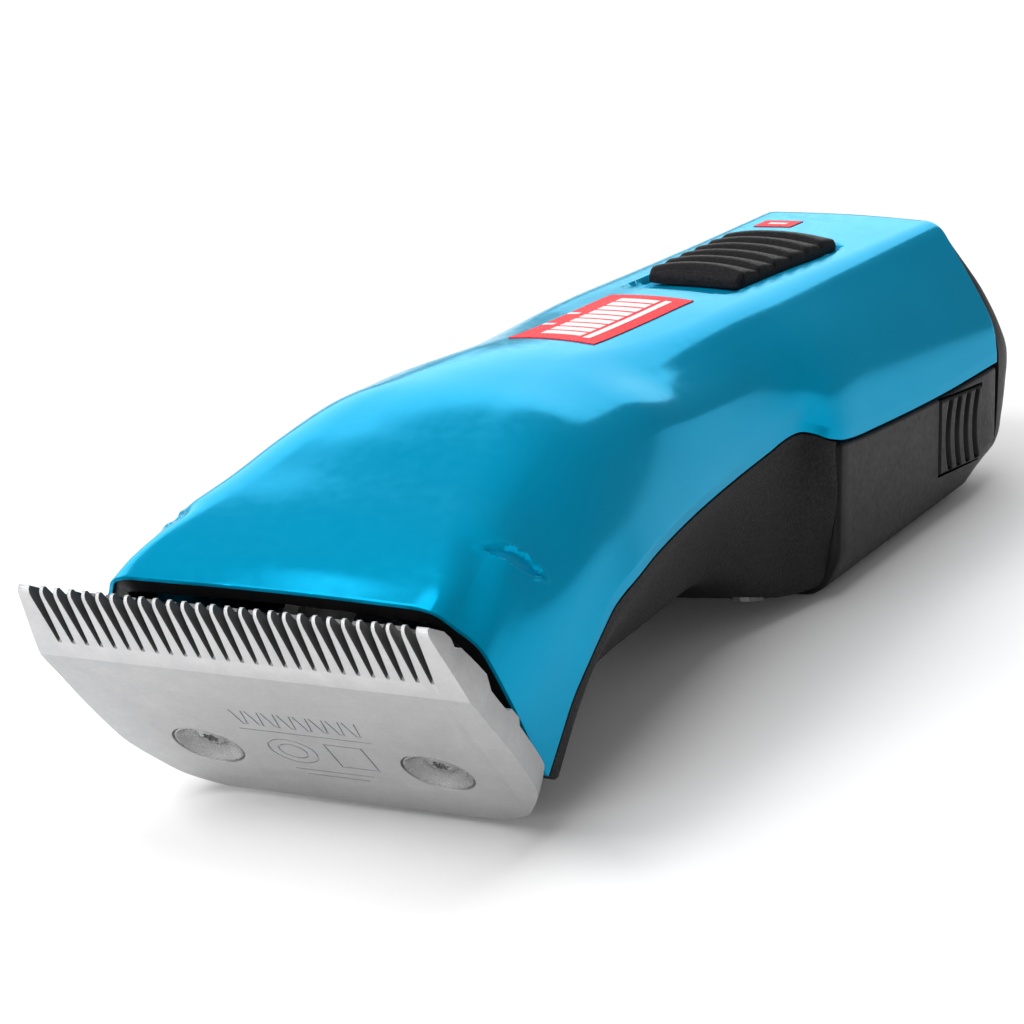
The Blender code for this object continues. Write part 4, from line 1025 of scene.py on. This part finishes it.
def build_slider():
    """The slider's cap: widening to the rear, with arched ribs that rise steeply and fall slowly."""
    length = SLIDER_REAR - SLIDER_FRONT
    rows, columns = 190, 57
    pitch = (length - 1.4) / RIB_COUNT
    top = []
    for r in range(rows):
        y = -length + length * r / (rows - 1)
        from_front, from_rear = y + length, -y
        half = SLIDER_NOSE_HALF + (SLIDER_HALF - SLIDER_NOSE_HALF) * from_front / length
        for gap, reach in ((from_front, 1.6), (from_rear, 1.8)):
            half -= CORNER_CUT * (1 - quarter_round(min(gap / reach, 1.0)))
        for c in range(columns):
            u = 2 * c / (columns - 1) - 1
            arch = 1.0 - abs(u)**2.4
            shoulder = quarter_round(min((1 - abs(u)) / 0.09, 1.0))
            phase = (from_front - 0.9 + 0.5 * u * u) / pitch
            wave = 0.0
            if 0 <= phase < RIB_COUNT:
                t = phase % 1.0
                wave = t / RIB_RISE if t < RIB_RISE else (1 - t) / (1 - RIB_RISE)
                wave = math.sin(wave * math.pi / 2)
            ends = quarter_round(min(min(from_front, from_rear) / 0.9, 1.0))
            crown = 0.55 + 0.45 * arch + wave * (0.4 + 0.4 * arch)
            top.append((half * u, y, SKIRT_HIGH + crown * shoulder * ends))
    bottom = [(x, y, SKIRT_LOW) for x, y, _ in top]
    thing = slab_object("slider_cap", top, bottom, rows, columns)
    settle(thing, 45)
    dress(thing, SLIDER, "switch", GRIP_BLACK, ["switch_slider"])


# ---- battery pack

def rest_plane(y):
    """Height of the resting plane at y in the handle frame."""
    return (y * math.sin(REST_PITCH) - REST_LIFT) / math.cos(REST_PITCH)


def pack_ring(y, shrink=0.0):
    """A closed section of the pack at y, drawn in by shrink, with rounded corners."""
    lowest = rest_plane(y) + shrink
    floor = lowest + FLOOR_RISE * max(y - FLOOR_END, 0.0)
    shoulder = on_curve(RIM, y).z - SEAM - 0.1
    wide = BATTERY_HALF - shrink
    right = [(0.0, 7.0 - shrink), (17.2, 7.0 - shrink), (18.6 - shrink, 5.4), (18.6 - shrink, shoulder),
             (wide, shoulder - shrink), (wide, lowest + 5.2),
             (BATTERY_FLOOR_HALF + 2.2 - shrink, floor + 1.4), (BATTERY_FLOOR_HALF - shrink, floor),
             (0.0, floor)]
    right = [Vector((x, y, z)) for x, z in right]
    return with_left_half(softened(right, [0, 0.6, 0.6, 0.3, 0.6, 1.6, 1.0, 1.2, 0], 3, 4))


def build_pack():
    """The pack's case: a rounded tube, hollowed for the cells, the pads and the terminals."""
    shrinks = [(0.0, 0.7), (0.15, 0.35), (0.4, 0.12), (0.8, 0.0)]
    front = [(BATTERY_FRONT + ahead, shrink) for ahead, shrink in shrinks]
    rear = [(173.8 - ahead, 0.6 * shrink) for ahead, shrink in reversed(shrinks)]
    middle = [(y, 0.0) for y in [*np.arange(121.0, 166.0, 3.0), 166.4, FLOOR_END, 167.6, 170.0]]
    thing = tube_object("pack_case", [pack_ring(y, shrink) for y, shrink in front + middle + rear])
    cell_room = block((34.8, 51.6, 24.0), (0, 145.8, 1.0))
    cutters = [cell_room]
    pad_hole = (8.0, BUTTON_SIZE[1] + 0.6, BUTTON_SIZE[2] + 0.6)
    terminal_hole = (5.0, 2.0, 8.0)
    for side in (-1, 1):
        cutters.append(block(pad_hole, (side * 22.5, BUTTON_Y, BUTTON_Z)))
        cutters.append(block(terminal_hole, (side * 9.5, BATTERY_FRONT, 0.0)))
    combine(thing, bm_object("pack_cutter", merged(*cutters)), "DIFFERENCE")
    settle(thing, 35)
    dress(thing, HANDLE, "battery", PACK_BLACK, ["battery_case"])


END_START = 174.5
END_EDGE = 0.35
END_MIDDLE = 4.0
END_CHAMFER = 0.012
END_FRONT = [(0.0, 21.65), (12.4, 21.5), (15.3, 17.5), (18.2, 13.4), (20.2, 9.6), (21.9, 5.2), (22.0, 2.4),
             (21.9, -3.0), (21.6, -7.8), (20.2, -9.9), (18.0, -11.2), (0.0, -11.2)]
END_BULGE = [(0.0, 20.8, 176.2), (11.6, 20.7, 176.2), (14.8, 16.8, 177.0), (17.6, 12.9, 177.9),
             (19.6, 9.2, 178.6), (21.3, 5.0, 179.0), (21.4, 2.4, 179.1), (21.0, -2.6, 178.5),
             (20.5, -6.2, 177.6), (19.2, -8.2, 177.2), (17.0, -9.4, 177.0), (0.0, -9.4, 177.0)]


def build_end():
    """The rear wall of the pack, bowed and rounded over to its rim."""
    cuts = [0, 1.2, 1.6, 1.6, 1.6, 1.6, 1.2, 2.0, 1.6, 1.2, 1.2, 0]
    base = with_left_half(softened([Vector((x, END_START, z)) for x, z in END_FRONT], cuts, 3, 4))
    far = with_left_half(softened([Vector((x, y, z)) for x, z, y in END_BULGE], cuts, 3, 4))
    rings = [[p + Vector((-END_CHAMFER * p.x, 0, 0)) for p in base], base]
    rings.append([p + Vector((0, END_EDGE, 0)) for p in base])
    for k in range(1, 5):
        turn = k / 5 * math.pi / 2
        rear, inward = math.sin(turn), 1 - math.cos(turn)
        rings.append([Vector((a.x + (b.x - a.x) * inward, a.y + END_EDGE + (b.y - a.y - END_EDGE) * rear,
                              a.z + (b.z - a.z) * inward)) for a, b in zip(base, far)])
    rings.append(far)
    for t in (0.15, 0.35, 0.6, 0.85):
        rings.append([b.lerp(Vector((0, b.y, END_MIDDLE)), t) for b in far])
    thing = tube_object("pack_end", rings)
    settle(thing, 32)
    dress(thing, HANDLE, "battery", PACK_BLACK, ["battery_end_cap"])


PAD_FACE = BATTERY_HALF + 0.2
GROOVE_COUNT = 4
GROOVE_FIRST = 4.4
GROOVE_SHIFT = 0.6
GROOVE_PITCH = 3.3
GROOVE_BOW = 1.3
GROOVE_WIDTH = 0.95
GROOVE_DEPTH = 0.8
GROOVE_REACH = 0.93


def build_release_pads():
    """Push pads in the pack's sides with bowed upright grooves."""
    depth, length, height = BUTTON_SIZE
    rows, columns = 40, 121
    for name, side in SIDES:
        top = []
        for r in range(rows):
            v = 2 * r / (rows - 1) - 1
            for c in range(columns):
                u = 2 * c / (columns - 1) - 1
                y = BUTTON_Y + u * length / 2
                z = BUTTON_Z + v * height / 2
                bow = GROOVE_BOW * (1 - v * v)
                groove = 0.0
                for k in range(GROOVE_COUNT):
                    line = BUTTON_Y - GROOVE_FIRST + GROOVE_PITCH * k - bow + GROOVE_SHIFT
                    groove += float(bump_of(np.array(y - line), GROOVE_WIDTH))
                edge = min(1 - abs(u), (1 - abs(v)) * height / length) * length / 2
                fall = 0.3 * (1 - float(step_of(np.array(edge), 0.3)))
                sunk = GROOVE_DEPTH * min(groove, 1.0) * (abs(v) < GROOVE_REACH)
                top.append((side * (PAD_FACE - fall - sunk), y, z))
        back = [(side * (PAD_FACE - depth), y, z) for _, y, z in top]
        thing = slab_object(f"release_pad_{name}", top, back, rows, columns)
        bore = rod(1.7, 2.2, (side * (PAD_FACE - depth), BUTTON_Y, BUTTON_Z), "X", 24)
        combine(thing, bm_object("spring_bore", bore), "DIFFERENCE")
        settle(thing, 45)
        dress(thing, HANDLE, f"release_{name}", PACK_BLACK, [f"release_button_{name}"])


# ---- stage

def build_stage():
    """A pale floor just below the object."""
    reach, drop = 3.0, 0.0002
    corners = [(-reach, -reach, 0), (reach, -reach, 0), (reach, reach, 0), (-reach, reach, 0)]
    floor = mesh_object("floor", corners, [(0, 1, 2, 3)])
    floor.location.z = -drop
    finish = Finish("pale_floor", (0.93, 0.93, 0.93), 0.8)
    finish.colour(finish.noise(0.02, 2), [(0.3, 0.92), (0.7, 0.94)])
    floor.data.materials.append(finish.material)


def area_light(name, place, target, size, power):
    data = bpy.data.lights.new(name, "AREA")
    data.shape = "RECTANGLE"
    data.size, data.size_y = size
    data.energy = power
    lamp = new_object(name, data)
    lamp.location = place
    lamp.rotation_euler = (Vector(target) - Vector(place)).to_track_quat("-Z", "Y").to_euler()


def build_lights():
    """A bright surround and soft lamps."""
    world = bpy.data.worlds.new("studio")
    world.use_nodes = True
    background = world.node_tree.nodes["Background"]
    background.inputs["Color"].default_value = (1.0, 1.0, 1.0, 1.0)
    background.inputs["Strength"].default_value = 0.26
    bpy.context.scene.world = world
    middle = (0, 0, 0.02)
    area_light("back_softbox", (-0.65, 1.0, 0.45), middle, (1.6, 0.7), 6.8)
    area_light("left_key", (-0.55, -0.6, 0.8), middle, (0.45, 0.45), 8.0)
    area_light("overhead", (-0.15, 0.0, 1.1), middle, (0.9, 0.9), 6.2)
    area_light("front_fill", (0.1, -1.2, 0.18), middle, (1.2, 0.4), 8.0)
    area_light("comb_fill", (-0.05, -0.42, 0.06), (0.0, -0.085, 0.01), (0.2, 0.1), 0.3)
    bpy.context.scene.view_settings.view_transform = "Standard"


def build_camera():
    """The camera, placed and turned in the handle frame."""
    data = bpy.data.cameras.new("camera")
    data.sensor_width = SENSOR
    data.lens = LENS
    data.clip_start = 0.01
    data.clip_end = 20
    camera = new_object("camera", data)
    sin_a, cos_a = math.sin(CAMERA_AZIMUTH), math.cos(CAMERA_AZIMUTH)
    sin_e, cos_e = math.sin(CAMERA_ELEVATION), math.cos(CAMERA_ELEVATION)
    back = Vector((sin_a * cos_e, -cos_a * cos_e, sin_e))
    right = Vector((cos_a, sin_a, 0))
    turn = HANDLE.to_3x3() @ Matrix((right, back.cross(right), back)).transposed()
    place = (HANDLE @ Vector(CAMERA_PLACE)) * MM
    camera.matrix_world = Matrix.Translation(place) @ turn.to_4x4()
    bpy.context.scene.camera = camera


build_camera()
build_stage()
build_lights()
dress_cad_nodes()
build_cover()
build_label()
build_lower()
build_bezel()
build_comb()
build_comb_screws()
build_slider()
build_pack()
build_end()
build_release_pads()
